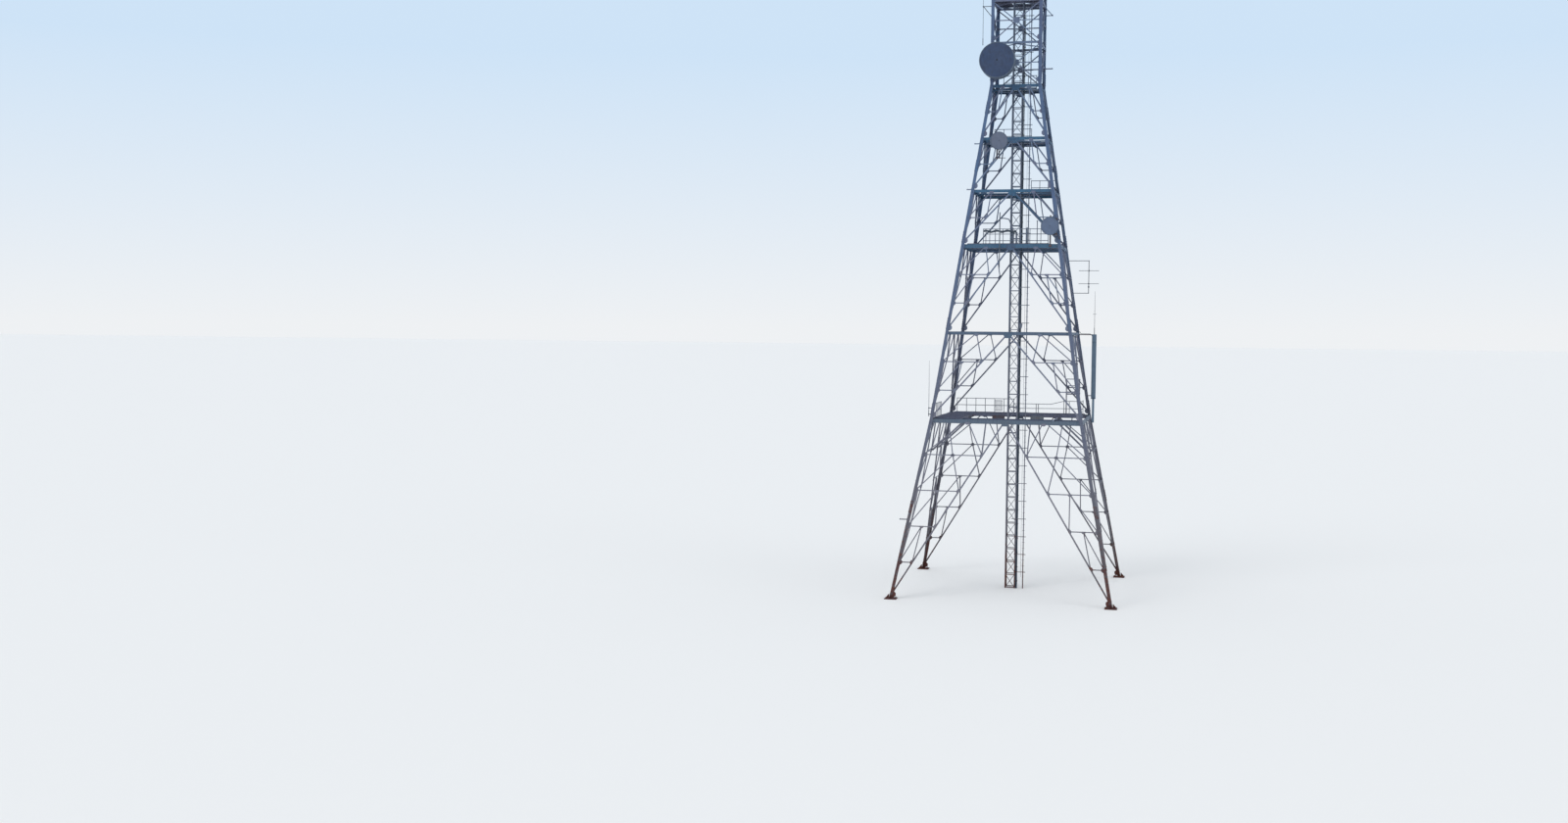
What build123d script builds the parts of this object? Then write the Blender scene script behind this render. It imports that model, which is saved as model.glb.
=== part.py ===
from build123d import *
import os
from math import atan, atan2, ceil, cos, degrees, pi, radians, sin, tan

os.makedirs("parts", exist_ok=True)

# Half-scale model of a square self-supporting radio mast, in millimetres of the model.
# The origin is the centre of the base on the ground, +Z is up and -Y is the near side.

# Heights of the levels above the ground
platform_1_height = 6000
level_2_height = 8900
platform_2_height = 11850
level_4_height = 13730
level_5_height = 15520
waist_height = 17400
upper_bay = 1432.5
upper_bays = 4
platform_3_bay = 2

# Half the width across the outside of the legs
base_half = 3675
platform_1_half = 2545
waist_half = 865

# Legs: angle sections with their corner outwards
leg_flange = 110
leg_thickness = 12

# Base plates
base_plate_size = 400
base_plate_thickness = 25
anchor_hole_radius = 12
anchor_spacing = 280
foot_setback = 60

# Bars of the sides
bar_depth = 40
main_bar_width = 65
bar_width = 42.5
corner_clearance = 10
apex_gap = 25
deep_beam = 130
middle_beam = 100
upper_beam = 70
gusset_width = 310
gusset_height = 210
centre_gusset = 150
lower_panels = 5
middle_panels = 3
narrow_panels = 2

# Central column and the ties that hold it
column_half = 180
column_chord = 37.5
column_rung = 20
column_pitch = 2200
column_rise = 650
tie_width = 40
tie_depth = 50

# Cable run and step pole beside the column
feeder_width = 75
feeder_depth = 150
step_pole_size = 35
step_pole_gap = 170
step_length = 150
step_size = 17.5
step_pitch = 2000
pole_tie_size = 25

# Platforms and walkways
deck_thickness = 30
panel_gap = 4
girder_width = 60
girder_depth = 90
deck_edge_gap = 10
hatch_margin = 90
walkway_width = 1000
platform_2_deck_end = 1250
platform_3_girder_line = 360
platform_3_girder_depth = 60
level_walk_width = 300
knee_width = 40
knee_depth = 60

# Handrails
rail_height = 500
rail_bar = 25
rail_post_pitch = 660
west_rail_start = 1000
west_rail_end = 2250
near_rail_left = 960
near_rail_right = 1245
level_4_rail = (-1300, -390)
level_5_rail = (-415, 900)
waist_rail = (-580, 580)

# Dishes: a shroud, a back that narrows to the hub, and the pipe that the hub is clamped to
dish_sides = 24
hub_radius = 80
hub_depth = 50
mount_pipe = 50
mount_arm = 60
pipe_overhang = 120
drum_dish_radius = 600
drum_dish_shroud = 400
drum_dish_back = 130
drum_dish_height = 18120
drum_dish_inset = 285
drum_arm_spacing = 900
small_dish_radius = 300
small_dish_shroud = 90
small_dish_back = 110
dish_1_turn = 20
dish_1_height = 15405
dish_1_low_arm = 560
dish_1_high_arm = 115
dish_2_height = 12500
dish_2_inset = 270
dish_2_arm_spacing = 500

# Antennas
panel_arm_height = 8875
panel_arm_reach = 2565
panel_width = 160
panel_depth = 90
panel_length = 2310
panel_tail_width = 80
panel_tail_length = 845
antenna_arm = 30
rod_size = 25
right_whip_length = 1535
right_whip_cross = 715
cross_length = 120
dipole_top = 11490
dipole_bottom = 10345
dipole_reach = 2430
dipole_line = 1750
dipole_heights = (11140, 10680)
dipole_length = 690
left_whip_foot = 6075
left_whip_length = 1890
left_whip_reach = 2590
left_whip_clamps = (6150, 6360)
top_whip_foot = 18735
top_whip_length = 2765
top_whip_reach = 1145
top_whip_arm = 20045
top_whip_strut_drop = 340
pole_antenna_size = 35
pole_antenna_place = 360
pole_antenna_foot = 11110
pole_antenna_length = 1865
pole_antenna_gap = 30
rod_plate = 20
lightning_rod_length = 900

# Rest balcony above the first platform
balcony_left = 1690
balcony_width = 480
balcony_depth = 400
balcony_setback = 330
balcony_floor = 6730
balcony_floor_thickness = 30
balcony_post = 20
balcony_rails = (70, 290, 530)


def half_width(height):
    """Half the width across the legs at a height."""
    if height < platform_1_height:
        share = height / platform_1_height
        return base_half + (platform_1_half - base_half) * share
    if height < waist_height:
        share = (height - platform_1_height) / (waist_height - platform_1_height)
        return platform_1_half + (waist_half - platform_1_half) * share
    return waist_half


def lean(foot_height, head_height):
    """Angle from the vertical, in radians, of a side between two heights."""
    step = half_width(foot_height) - half_width(head_height)
    return atan(step / (head_height - foot_height))


def save(part, label):
    """Label a finished piece and write it."""
    part.label = label
    export_step(part, f"parts/{label}.step")


def save_all(pieces, label):
    """Write pieces that don't touch one another as one part."""
    with BuildPart() as group:
        add(pieces)
    save(group.part, label)


top_height = waist_height + upper_bays * upper_bay
platform_3_height = waist_height + platform_3_bay * upper_bay
side_bearings = {"south": 0, "east": 90, "north": 180, "west": 270}
south = side_bearings["south"]
east = side_bearings["east"]
north = side_bearings["north"]
west = side_bearings["west"]
corners = [(-1, -1), (1, -1), (1, 1), (-1, 1)]
lower_lean = lean(0, platform_1_height)
middle_lean = lean(platform_1_height, waist_height)


def leg(corner, foot_height, head_height):
    """One length of a leg, an angle section whose corner line follows the tower's corner."""
    side_x, side_y = corner
    foot = half_width(foot_height)
    head = half_width(head_height)
    run = Vector(side_x * (head - foot), side_y * (head - foot), head_height - foot_height)
    outline = [
        (0, 0),
        (leg_flange, 0),
        (leg_flange, leg_thickness),
        (leg_thickness, leg_thickness),
        (leg_thickness, leg_flange),
        (0, leg_flange),
    ]
    points = [(side_x * (foot - x), side_y * (foot - y)) for x, y in outline]
    with BuildPart() as length:
        with BuildSketch(Plane.XY.offset(foot_height)):
            with BuildLine():
                Polyline(*points, close=True)
            make_face()
        extrude(amount=run.length, dir=run.normalized())
    return length.part


def side_plane(bearing, foot_height, slope, depth):
    """Plane of one side, X across it and Y up its slope, set in square to the side by depth."""
    outward = Vector(0, -cos(slope), sin(slope))
    origin = Vector(0, -half_width(foot_height), foot_height) - outward * depth
    across = Vector(1, 0, 0).rotate(Axis.Z, bearing)
    return Plane(origin.rotate(Axis.Z, bearing), across, outward.rotate(Axis.Z, bearing))


def up_slope(height, foot_height, slope, depth):
    """Distance up the plane of a side, set in by depth, to a height."""
    return (height - foot_height + depth * sin(slope)) / cos(slope)


def inner_face(height, slope):
    """Half the clear width between the beams of opposite sides, at a height."""
    return half_width(height) - leg_thickness - bar_depth / cos(slope)


def reach(height, slope):
    """How far bars run out from the middle of a side, short of the next side's bars."""
    return inner_face(height, slope) - corner_clearance


def side_bars(bearing, foot_height, slope, panels):
    """Bars on the inside of the leg flanges: each panel is its bars and the outline they fill."""
    set_in = leg_thickness * cos(slope)
    plane = side_plane(bearing, foot_height, slope, set_in)
    with BuildPart() as bars:
        for members, outline in panels:
            with BuildSketch(plane) as panel:
                for start, end, width in members:
                    first = Vector(start[0], up_slope(start[1], foot_height, slope, set_in))
                    last = Vector(end[0], up_slope(end[1], foot_height, slope, set_in))
                    run = last - first
                    with Locations((first + last) * 0.5):
                        Rectangle(run.length, width, rotation=degrees(atan2(run.Y, run.X)))
                points = [(x, up_slope(z, foot_height, slope, set_in)) for x, z in outline]
                with BuildLine():
                    Polyline(*points, close=True)
                make_face(mode=Mode.INTERSECT)
            extrude(panel.sketch, amount=-bar_depth)
    return bars.part


def half_outline(side, low, high, slope):
    """Outline of half a panel between two heights, from beside the middle line to the leg."""
    return [
        (side * apex_gap, low),
        (side * reach(low, slope), low),
        (side * reach(high, slope), high),
        (side * apex_gap, high),
    ]


def k_members(side, low, steps, beam_height, foot_reach, slope):
    """Bars of half a K panel: a main bar from the middle of the beam above to the leg foot,
    level bars from the leg to it, and the short bars that hold them."""
    rise = beam_height - low
    slanted = [(side * foot_reach * i / steps, beam_height - rise * i / steps) for i in range(steps + 1)]
    on_leg = [(side * reach(z, slope), z) for _, z in slanted]
    members = [(slanted[0], slanted[-1], main_bar_width)]
    for i in range(1, steps):
        members.append((slanted[i], on_leg[i], bar_width))
    middle = (side * half_width(beam_height) / 2, beam_height)
    members.append((slanted[1], middle, bar_width))
    members.append((on_leg[1], middle, bar_width))
    for i in range(1, steps - 1):
        halfway = ((slanted[i][0] + on_leg[i][0]) / 2, slanted[i][1])
        members.append((halfway, slanted[i + 1], bar_width))
        members.append((halfway, on_leg[i + 1], bar_width))
    return members


def ring_beams(height, beam, slope_foot, slope):
    """Four level beams between the legs, each with the gusset of the K bars on its middle."""
    set_in = leg_thickness * cos(slope)
    low = height - beam / 2
    high = height + beam / 2
    with BuildPart() as beams:
        for bearing in side_bearings.values():
            plane = side_plane(bearing, slope_foot, slope, set_in)
            with BuildSketch(plane) as beam_side:
                points = [
                    (-reach(low, slope), up_slope(low, slope_foot, slope, set_in)),
                    (reach(low, slope), up_slope(low, slope_foot, slope, set_in)),
                    (reach(high, slope), up_slope(high, slope_foot, slope, set_in)),
                    (-reach(high, slope), up_slope(high, slope_foot, slope, set_in)),
                ]
                with BuildLine():
                    Polyline(*points, close=True)
                make_face()
            extrude(beam_side.sketch, amount=-bar_depth)
            with BuildSketch(plane) as gusset:
                with Locations((0, up_slope(high, slope_foot, slope, set_in))):
                    Rectangle(gusset_width, gusset_height, align=(Align.CENTER, Align.MAX))
            extrude(gusset.sketch, amount=set_in)
    return beams.part


def cross_section(bearing, left, right, points):
    """Bar with its outline, in distance outward and height, drawn square to a side and drawn out
    from left to right across the side."""
    origin = Vector(right, 0, 0).rotate(Axis.Z, bearing)
    outward = Vector(0, -1, 0).rotate(Axis.Z, bearing)
    to_left = Vector(-1, 0, 0).rotate(Axis.Z, bearing)
    with BuildPart() as bar:
        with BuildSketch(Plane(origin, outward, to_left)):
            with BuildLine():
                Polyline(*points, close=True)
            make_face()
        extrude(amount=right - left)
    return bar.part


def arm(bearing, left, right, height, size, end, inset=0):
    """Level arm from the face of a side, inset from the leg face, out to a distance."""
    low = height - size / 2
    high = height + size / 2
    points = [
        (half_width(low) - inset, low),
        (end, low),
        (end, high),
        (half_width(high) - inset, high),
    ]
    return cross_section(bearing, left, right, points)


def block(low, high):
    """Box between two corners."""
    size = Vector(*high) - Vector(*low)
    middle = (Vector(*high) + Vector(*low)) * 0.5
    with BuildPart() as box:
        with Locations(middle):
            Box(size.X, size.Y, size.Z)
    return box.part


# Legs, in three lengths
save_all([leg(corner, base_plate_thickness, platform_1_height) for corner in corners], "legs_lower")
save_all([leg(corner, platform_1_height, waist_height) for corner in corners], "legs_middle")
save_all([leg(corner, waist_height, top_height) for corner in corners], "legs_upper")

# Base plates, one under each leg with four anchor holes
foot_centre = half_width(0) - foot_setback
on_floor = (Align.CENTER, Align.CENTER, Align.MIN)
with BuildPart() as base_plates:
    with GridLocations(2 * foot_centre, 2 * foot_centre, 2, 2):
        Box(base_plate_size, base_plate_size, base_plate_thickness, align=on_floor)
    with Locations((0, 0, base_plate_thickness)):
        with GridLocations(2 * foot_centre, 2 * foot_centre, 2, 2):
            with GridLocations(anchor_spacing, anchor_spacing, 2, 2):
                Hole(anchor_hole_radius)
save(base_plates.part, "base_plates")

# Beams round the tower at each level: the middle of the beam and its depth
platform_1_beam = (platform_1_height - deep_beam / 2, deep_beam)
waist_beam = (waist_height - deep_beam / 2, deep_beam)
middle_beams = {
    "level_2": (level_2_height, middle_beam),
    "platform_2": (platform_2_height, deep_beam),
    "level_4": (level_4_height, deep_beam),
    "level_5": (level_5_height, deep_beam),
}
save(ring_beams(*platform_1_beam, 0, lower_lean), "ring_beams_platform_1")
level_beams = [ring_beams(*beam, platform_1_height, middle_lean) for beam in middle_beams.values()]
save_all(level_beams, "ring_beams_middle")
save(ring_beams(*waist_beam, platform_1_height, middle_lean), "ring_beams_waist")

# Lower bracing: half a K each side of the middle of every side, with a post under the beam
for side_name, bearing in side_bearings.items():
    low = base_plate_thickness
    high = platform_1_height - deep_beam
    first_level = platform_1_height - (platform_1_height - low) / lower_panels
    panels = []
    for side in (-1, 1):
        members = k_members(side, low, lower_panels, platform_1_height, base_half, lower_lean)
        post_foot = (base_half / lower_panels + reach(first_level, lower_lean)) / 2
        post_head = platform_1_half * 3 / 4
        members.append(((side * post_foot, first_level), (side * post_head, platform_1_height), bar_width))
        panels.append((members, half_outline(side, low, high, lower_lean)))
    save(side_bars(bearing, 0, lower_lean, panels), f"bracing_lower_{side_name}")

# Middle bracing: five K panels between platform 1 and the waist
middle_tiers = [
    (platform_1_beam, middle_beams["level_2"], middle_panels),
    (middle_beams["level_2"], middle_beams["platform_2"], middle_panels),
    (middle_beams["platform_2"], middle_beams["level_4"], narrow_panels),
    (middle_beams["level_4"], middle_beams["level_5"], narrow_panels),
    (middle_beams["level_5"], waist_beam, narrow_panels),
]
for side_name, bearing in side_bearings.items():
    panels = []
    for (foot_level, foot_beam), (head_level, head_beam), steps in middle_tiers:
        low = foot_level + foot_beam / 2
        high = head_level - head_beam / 2
        for side in (-1, 1):
            members = k_members(side, low, steps, head_level, half_width(foot_level), middle_lean)
            panels.append((members, half_outline(side, low, high, middle_lean)))
    bracing = side_bars(bearing, platform_1_height, middle_lean, panels)
    save(bracing, f"bracing_middle_{side_name}")

# Upper bracing: square bays crossed corner to corner
upper_members = []
for bay in range(upper_bays):
    low = waist_height + bay * upper_bay
    high = low + upper_bay
    middle = (low + high) / 2
    beam_line = high - upper_beam / 2
    lower_line = low if bay == 0 else low - upper_beam / 2
    upper_members.append(((-waist_half, lower_line), (waist_half, beam_line), bar_width))
    upper_members.append(((waist_half, lower_line), (-waist_half, beam_line), bar_width))
    upper_members.append(((-waist_half, middle), (waist_half, middle), bar_width))
    upper_members.append(((-centre_gusset / 2, middle), (centre_gusset / 2, middle), centre_gusset))
    upper_members.append(((-waist_half, beam_line), (waist_half, beam_line), upper_beam))
upper_reach = reach(waist_height, 0)
upper_outline = [
    (-upper_reach, waist_height),
    (upper_reach, waist_height),
    (upper_reach, top_height),
    (-upper_reach, top_height),
]
for side_name, bearing in side_bearings.items():
    bracing = side_bars(bearing, waist_height, 0, [(upper_members, upper_outline)])
    save(bracing, f"bracing_upper_{side_name}")

# Square lattice column from the ground to above the legs: four chords and the rungs round them
column_top = top_height + column_rise
chord_spacing = 2 * column_half - column_chord
rung_outer = 2 * column_half - column_rung / 2
rung_inner = rung_outer - 2 * column_rung
rungs = int(column_top / column_pitch)
first_rung = (column_top - (rungs - 1) * column_pitch) / 2
with BuildPart() as column:
    with BuildSketch(Plane.XY):
        with GridLocations(chord_spacing, chord_spacing, 2, 2):
            Rectangle(column_chord, column_chord)
    extrude(amount=column_top)
    for i in range(rungs):
        with BuildSketch(Plane.XY.offset(first_rung + i * column_pitch)):
            Rectangle(rung_outer, rung_outer)
            Rectangle(rung_inner, rung_inner, mode=Mode.SUBTRACT)
        extrude(amount=column_rung)
save(column.part, "column")

# Cable run on the right of the column
feeder_edge = column_half + feeder_width
with BuildPart() as feeder_run:
    with BuildSketch(Plane.XY):
        with Locations((column_half, -column_half)):
            Rectangle(feeder_width, feeder_depth, align=(Align.MIN, Align.MIN))
    extrude(amount=platform_3_height)
save(feeder_run.part, "feeder_run")

# Step pole to the right of the cable run, with its steps
pole_edge = feeder_edge + step_pole_gap
pole_x = pole_edge + step_pole_size / 2
pole_y = -column_half + feeder_depth / 2
with BuildPart() as step_pole:
    with BuildSketch(Plane.XY):
        with Locations((pole_x, pole_y)):
            Rectangle(step_pole_size, step_pole_size)
    extrude(amount=platform_3_height)
    for i in range(int(platform_3_height / step_pitch)):
        with Locations((pole_x, pole_y, (i + 0.5) * step_pitch)):
            Box(step_length, step_size, step_size)
save(step_pole.part, "step_pole")

# Ties: two bars from side to side at every level, one before the column and one behind it,
# and short bars from the cable run to the step pole
ties = []
tie_line = column_half + tie_width
tie_tops = [
    (platform_1_height - girder_depth, lower_lean),
    (level_2_height + tie_depth / 2, middle_lean),
    (platform_2_height + deep_beam / 2 - girder_depth, middle_lean),
    (level_4_height + tie_depth / 2, middle_lean),
    (level_5_height + tie_depth / 2, middle_lean),
    (waist_height - girder_depth, middle_lean),
]
for tie_top, slope in tie_tops:
    tie_end = inner_face(tie_top, slope)
    ties.append(block((-tie_end, column_half, tie_top - tie_depth), (tie_end, tie_line, tie_top)))
    ties.append(block((-tie_end, -tie_line, tie_top - tie_depth), (tie_end, -column_half, tie_top)))
    pole_tie_low = tie_top - pole_tie_size
    pole_tie_half = pole_tie_size / 2
    pole_tie_start = (feeder_edge, pole_y - pole_tie_half, pole_tie_low)
    ties.append(block(pole_tie_start, (pole_edge, pole_y + pole_tie_half, tie_top)))
save_all(ties, "column_ties")


def railing(origin, bearing, length, height):
    """Handrail along a line: posts, a top rail and a middle rail in one plane."""
    along = Vector(1, 0, 0).rotate(Axis.Z, bearing)
    outward = Vector(0, -1, 0).rotate(Axis.Z, bearing)
    posts = max(2, ceil(length / rail_post_pitch) + 1)
    with BuildPart() as rail:
        with BuildSketch(Plane(origin, along, outward)) as bars:
            with Locations((0, height / 2)):
                with GridLocations((length - rail_bar) / (posts - 1), 0, posts, 1):
                    Rectangle(rail_bar, height)
            with Locations((0, height - rail_bar / 2), (0, height / 2)):
                Rectangle(length, rail_bar)
        extrude(bars.sketch, amount=-rail_bar)
    return rail.part


def deck_half(height, slope):
    """Half the width of a deck that stays inside the bars of the sides."""
    return reach(height, slope) - deck_edge_gap


def rail_line(deck_top, slope):
    """Distance from the axis to a handrail that stands inside the leaning bars."""
    return deck_half(deck_top, slope) - rail_height * tan(slope) - deck_edge_gap


def deck_rail(deck_top, slope, bearing, start, end):
    """Handrail on a deck, between two places across a side."""
    origin = Vector((start + end) / 2, -rail_line(deck_top, slope), deck_top)
    return railing(origin.rotate(Axis.Z, bearing), bearing, end - start, rail_height)


def girders(beam_top, slope, line, depth):
    """Two girders from side to side under a deck."""
    end = inner_face(beam_top - bar_depth * sin(slope), slope)
    pieces = []
    for y in (-line, line):
        low = (-end, y - girder_width / 2, beam_top - depth)
        pieces.append(block(low, (end, y + girder_width / 2, beam_top)))
    return pieces


def joists(beam_top, slope, line):
    """Joists square to the girders: their ends at the beams and their middles between the girders."""
    end = inner_face(beam_top - bar_depth * sin(slope), slope)
    stretches = [
        (-end, -line - girder_width / 2),
        (-line + girder_width / 2, line - girder_width / 2),
        (line + girder_width / 2, end),
    ]
    pieces = []
    for x in (-line, line):
        for y_low, y_high in stretches:
            low = (x - girder_width / 2, y_low, beam_top - girder_depth)
            pieces.append(block(low, (x + girder_width / 2, y_high, beam_top)))
    return pieces


def deck_panels(beam_top, plates):
    """Deck panels laid side by side, a small gap between them."""
    pieces = []
    inset = panel_gap / 2
    for x_low, x_high, y_low, y_high in plates:
        low = (x_low + inset, y_low + inset, beam_top)
        pieces.append(block(low, (x_high - inset, y_high - inset, beam_top + deck_thickness)))
    return pieces


hatch_right = pole_x + step_length / 2 + hatch_margin
hatch_half = column_half + hatch_margin
notch = leg_flange + deck_edge_gap

# Platform 1: decked on the far half and along the left side, with knees up to its girders
line_1 = platform_1_half - walkway_width
deck_1 = deck_half(platform_1_height + deck_thickness, middle_lean)
plates_1 = [
    (-deck_1 + notch, deck_1 - notch, hatch_half, deck_1),
    (-deck_1, -hatch_half, 0, hatch_half),
    (hatch_right, deck_1, 0, hatch_half),
    (-deck_1, -line_1 + girder_width / 2, -deck_1 + notch, 0),
]
save_all(girders(platform_1_height, lower_lean, line_1, girder_depth), "platform_1_girders")
save_all(joists(platform_1_height, lower_lean, line_1), "platform_1_joists")
save_all(deck_panels(platform_1_height, plates_1), "platform_1_deck")

knee_foot = platform_1_height - (platform_1_height - base_plate_thickness) / lower_panels
knee_head = platform_1_height - girder_depth
knee_line = base_half / lower_panels
knee_outline = [
    (inner_face(knee_foot - knee_depth, lower_lean), knee_foot - knee_depth),
    (inner_face(knee_foot + knee_depth, lower_lean), knee_foot + knee_depth),
    (line_1 + girder_width / 2, knee_head),
    (line_1 - girder_width / 2, knee_head),
]
knees = []
for bearing in side_bearings.values():
    for side in (-1, 1):
        middle = side * knee_line
        knees.append(cross_section(bearing, middle - knee_width / 2, middle + knee_width / 2, knee_outline))
save_all(knees, "platform_1_knees")

deck_top_1 = platform_1_height + deck_thickness
rail_end_1 = rail_line(deck_top_1, middle_lean) - leg_flange
rails_1 = [
    deck_rail(deck_top_1, middle_lean, north, -rail_end_1, rail_end_1),
    deck_rail(deck_top_1, middle_lean, west, west_rail_start, west_rail_end),
]
save_all(rails_1, "platform_1_handrails")

# Platform 2: decked on the near side
beam_top_2 = platform_2_height + deep_beam / 2
line_2 = half_width(platform_2_height) - walkway_width
deck_2 = deck_half(beam_top_2 + deck_thickness, middle_lean)
plates_2 = [
    (-deck_2 + notch, platform_2_deck_end, -deck_2, -hatch_half),
    (-deck_2, -hatch_half, -hatch_half, hatch_half),
    (hatch_right, platform_2_deck_end, -hatch_half, hatch_half),
]
save_all(girders(beam_top_2, middle_lean, line_2, girder_depth), "platform_2_girders")
save_all(joists(beam_top_2, middle_lean, line_2), "platform_2_joists")
save_all(deck_panels(beam_top_2, plates_2), "platform_2_deck")
near_rail = deck_rail(beam_top_2 + deck_thickness, middle_lean, south, -near_rail_left, near_rail_right)
save(near_rail, "platform_2_handrail")

# Platform 3: decked all round the hatch
deck_3 = deck_half(platform_3_height, 0)
deck_3_end = deck_3 - notch
plates_3 = [
    (-deck_3, -hatch_half, -deck_3_end, deck_3_end),
    (-hatch_half, hatch_right, -deck_3, -hatch_half),
    (-hatch_half, hatch_right, hatch_half, deck_3),
    (hatch_right, deck_3, -deck_3_end, deck_3_end),
]
girders_3 = girders(platform_3_height, 0, platform_3_girder_line, platform_3_girder_depth)
save_all(girders_3, "platform_3_girders")
save_all(deck_panels(platform_3_height, plates_3), "platform_3_deck")
deck_top_3 = platform_3_height + deck_thickness
rails_3 = [deck_rail(deck_top_3, 0, bearing, -deck_3_end, deck_3_end) for bearing in (south, north)]
save_all(rails_3, "platform_3_handrails")

# Short walkways on the far side of the upper levels, with handrails
walks = []
walk_rails = []
walk_levels = [
    (level_4_height + deep_beam / 2, level_4_rail),
    (level_5_height + deep_beam / 2, level_5_rail),
    (waist_height, waist_rail),
]
for walk_top, (rail_start, rail_end) in walk_levels:
    far_edge = inner_face(walk_top, middle_lean)
    walk_end = far_edge - notch
    walk_low = (-walk_end, far_edge - level_walk_width, walk_top - deck_thickness)
    walks.append(block(walk_low, (walk_end, far_edge, walk_top)))
    walk_rails.append(deck_rail(walk_top, middle_lean, north, rail_start, rail_end))
save_all(walks, "level_walkways")
save_all(walk_rails, "level_handrails")


def dish(radius, shroud, back):
    """Many-sided dish that faces -Y, its hub ending on the XZ plane."""
    half_side = pi / dish_sides
    narrowing = (radius - hub_radius) * cos(half_side)
    rim_y = -hub_depth - back
    with BuildPart() as body:
        with BuildSketch(Plane.XZ.offset(hub_depth)):
            RegularPolygon(radius, dish_sides)
        extrude(amount=back + shroud)
        for i in range(dish_sides):
            turned = (2 * i + 1) * half_side
            across = Vector(cos(turned), 0, sin(turned))
            on_rim = across * (radius * cos(half_side)) + Vector(0, rim_y, 0)
            back_face = Plane(on_rim, z_dir=across * back + Vector(0, narrowing, 0))
            split(bisect_by=back_face, keep=Keep.BOTTOM)
        with BuildSketch(Plane.XZ):
            RegularPolygon(hub_radius, dish_sides)
        extrude(amount=hub_depth)
    return body.part


def mount_pipe_at(x, front, low, high):
    """Upright pipe with its front face at a place, between two heights."""
    half = mount_pipe / 2
    return block((x - half, front, low), (x + half, front + mount_pipe, high))


def main_bar_place(head_level, foot_level, foot_beam, height):
    """Distance from the middle of a side to the main bar of a K panel, at a height."""
    low = foot_level + foot_beam / 2
    return half_width(foot_level) * (head_level - height) / (head_level - low)


# Drum dish on the near left leg
drum_x = -half_width(drum_dish_height) + drum_dish_inset
drum_arms_y = half_width(drum_dish_height) + mount_arm / 2
drum_pipe_y = -drum_arms_y - mount_pipe
drum_low = drum_dish_height - drum_arm_spacing / 2
drum_high = drum_dish_height + drum_arm_spacing / 2
arm_left = -half_width(drum_dish_height)
arm_right = drum_x + mount_pipe
drum_mount = [
    arm(south, arm_left, arm_right, drum_low, mount_arm, drum_arms_y),
    arm(south, arm_left, arm_right, drum_high, mount_arm, drum_arms_y),
    mount_pipe_at(drum_x, drum_pipe_y, drum_low - pipe_overhang, drum_high + pipe_overhang),
]
drum = dish(drum_dish_radius, drum_dish_shroud, drum_dish_back)
save(drum.moved(Location((drum_x, drum_pipe_y, drum_dish_height))), "drum_dish")

# Small dish 1 in front of the near side, on a pipe held by the level beam and a main bar
low_arm_1 = dish_1_height - dish_1_low_arm
high_arm_1 = dish_1_height + dish_1_high_arm
dish_1_x = -main_bar_place(level_5_height, level_4_height, deep_beam, low_arm_1)
pipe_back_1 = half_width(low_arm_1) - leg_thickness + mount_arm
pipe_front_1 = -pipe_back_1 - mount_pipe
arm_half = mount_pipe / 2
dish_1_mount = [
    arm(south, dish_1_x - arm_half, dish_1_x + arm_half, low_arm_1, mount_arm, pipe_back_1, leg_thickness),
    arm(south, dish_1_x - arm_half, dish_1_x + arm_half, high_arm_1, mount_arm, pipe_back_1, leg_thickness),
    mount_pipe_at(dish_1_x, pipe_front_1, low_arm_1 - arm_half, dish_1_height + small_dish_radius),
]

# Small dish 2 on the near right leg
low_arm_2 = dish_2_height - dish_2_arm_spacing / 2
high_arm_2 = dish_2_height + dish_2_arm_spacing / 2
dish_2_x = half_width(dish_2_height) - dish_2_inset
pipe_back_2 = half_width(low_arm_2) + mount_arm / 2
pipe_front_2 = -pipe_back_2 - mount_pipe
arm_left_2 = dish_2_x - mount_pipe / 2
dish_2_mount = [
    arm(south, arm_left_2, half_width(high_arm_2), low_arm_2, mount_arm, pipe_back_2),
    arm(south, arm_left_2, half_width(high_arm_2), high_arm_2, mount_arm, pipe_back_2),
    mount_pipe_at(dish_2_x, pipe_front_2, low_arm_2 - pipe_overhang, high_arm_2 + pipe_overhang),
]
small_dish = dish(small_dish_radius, small_dish_shroud, small_dish_back)
turn = radians(dish_1_turn)
clamp_reach = mount_pipe / 2 * (cos(turn) + sin(turn))
pipe_1 = Location((dish_1_x, pipe_front_1 + mount_pipe / 2, dish_1_height), (0, 0, dish_1_turn))
small_dishes = [
    small_dish.moved(pipe_1 * Location((0, -clamp_reach, 0))),
    small_dish.moved(Location((dish_2_x, pipe_front_2, dish_2_height))),
]
save_all(small_dishes, "small_dishes")
save_all(drum_mount + dish_1_mount + dish_2_mount, "dish_mounts")

# Long panel antenna hung on an arm of the far right leg
panel_line = half_width(panel_arm_height) - leg_flange / 2
panel_top = panel_arm_height + antenna_arm / 2
panel_bottom = panel_top - panel_length
panel_left = panel_line - antenna_arm
panel_right = panel_line + antenna_arm
with BuildPart() as panel_antenna:
    add(arm(east, panel_left, panel_right, panel_arm_height, antenna_arm, panel_arm_reach))
    with Locations((panel_arm_reach, panel_line, panel_top)):
        Box(panel_width, panel_depth, panel_length, align=(Align.MIN, Align.CENTER, Align.MAX))
    with Locations((panel_arm_reach + panel_width / 2, panel_line, panel_bottom)):
        Box(panel_tail_width, panel_depth, panel_tail_length, align=(Align.CENTER, Align.CENTER, Align.MAX))
save(panel_antenna.part, "panel_antenna")

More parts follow.
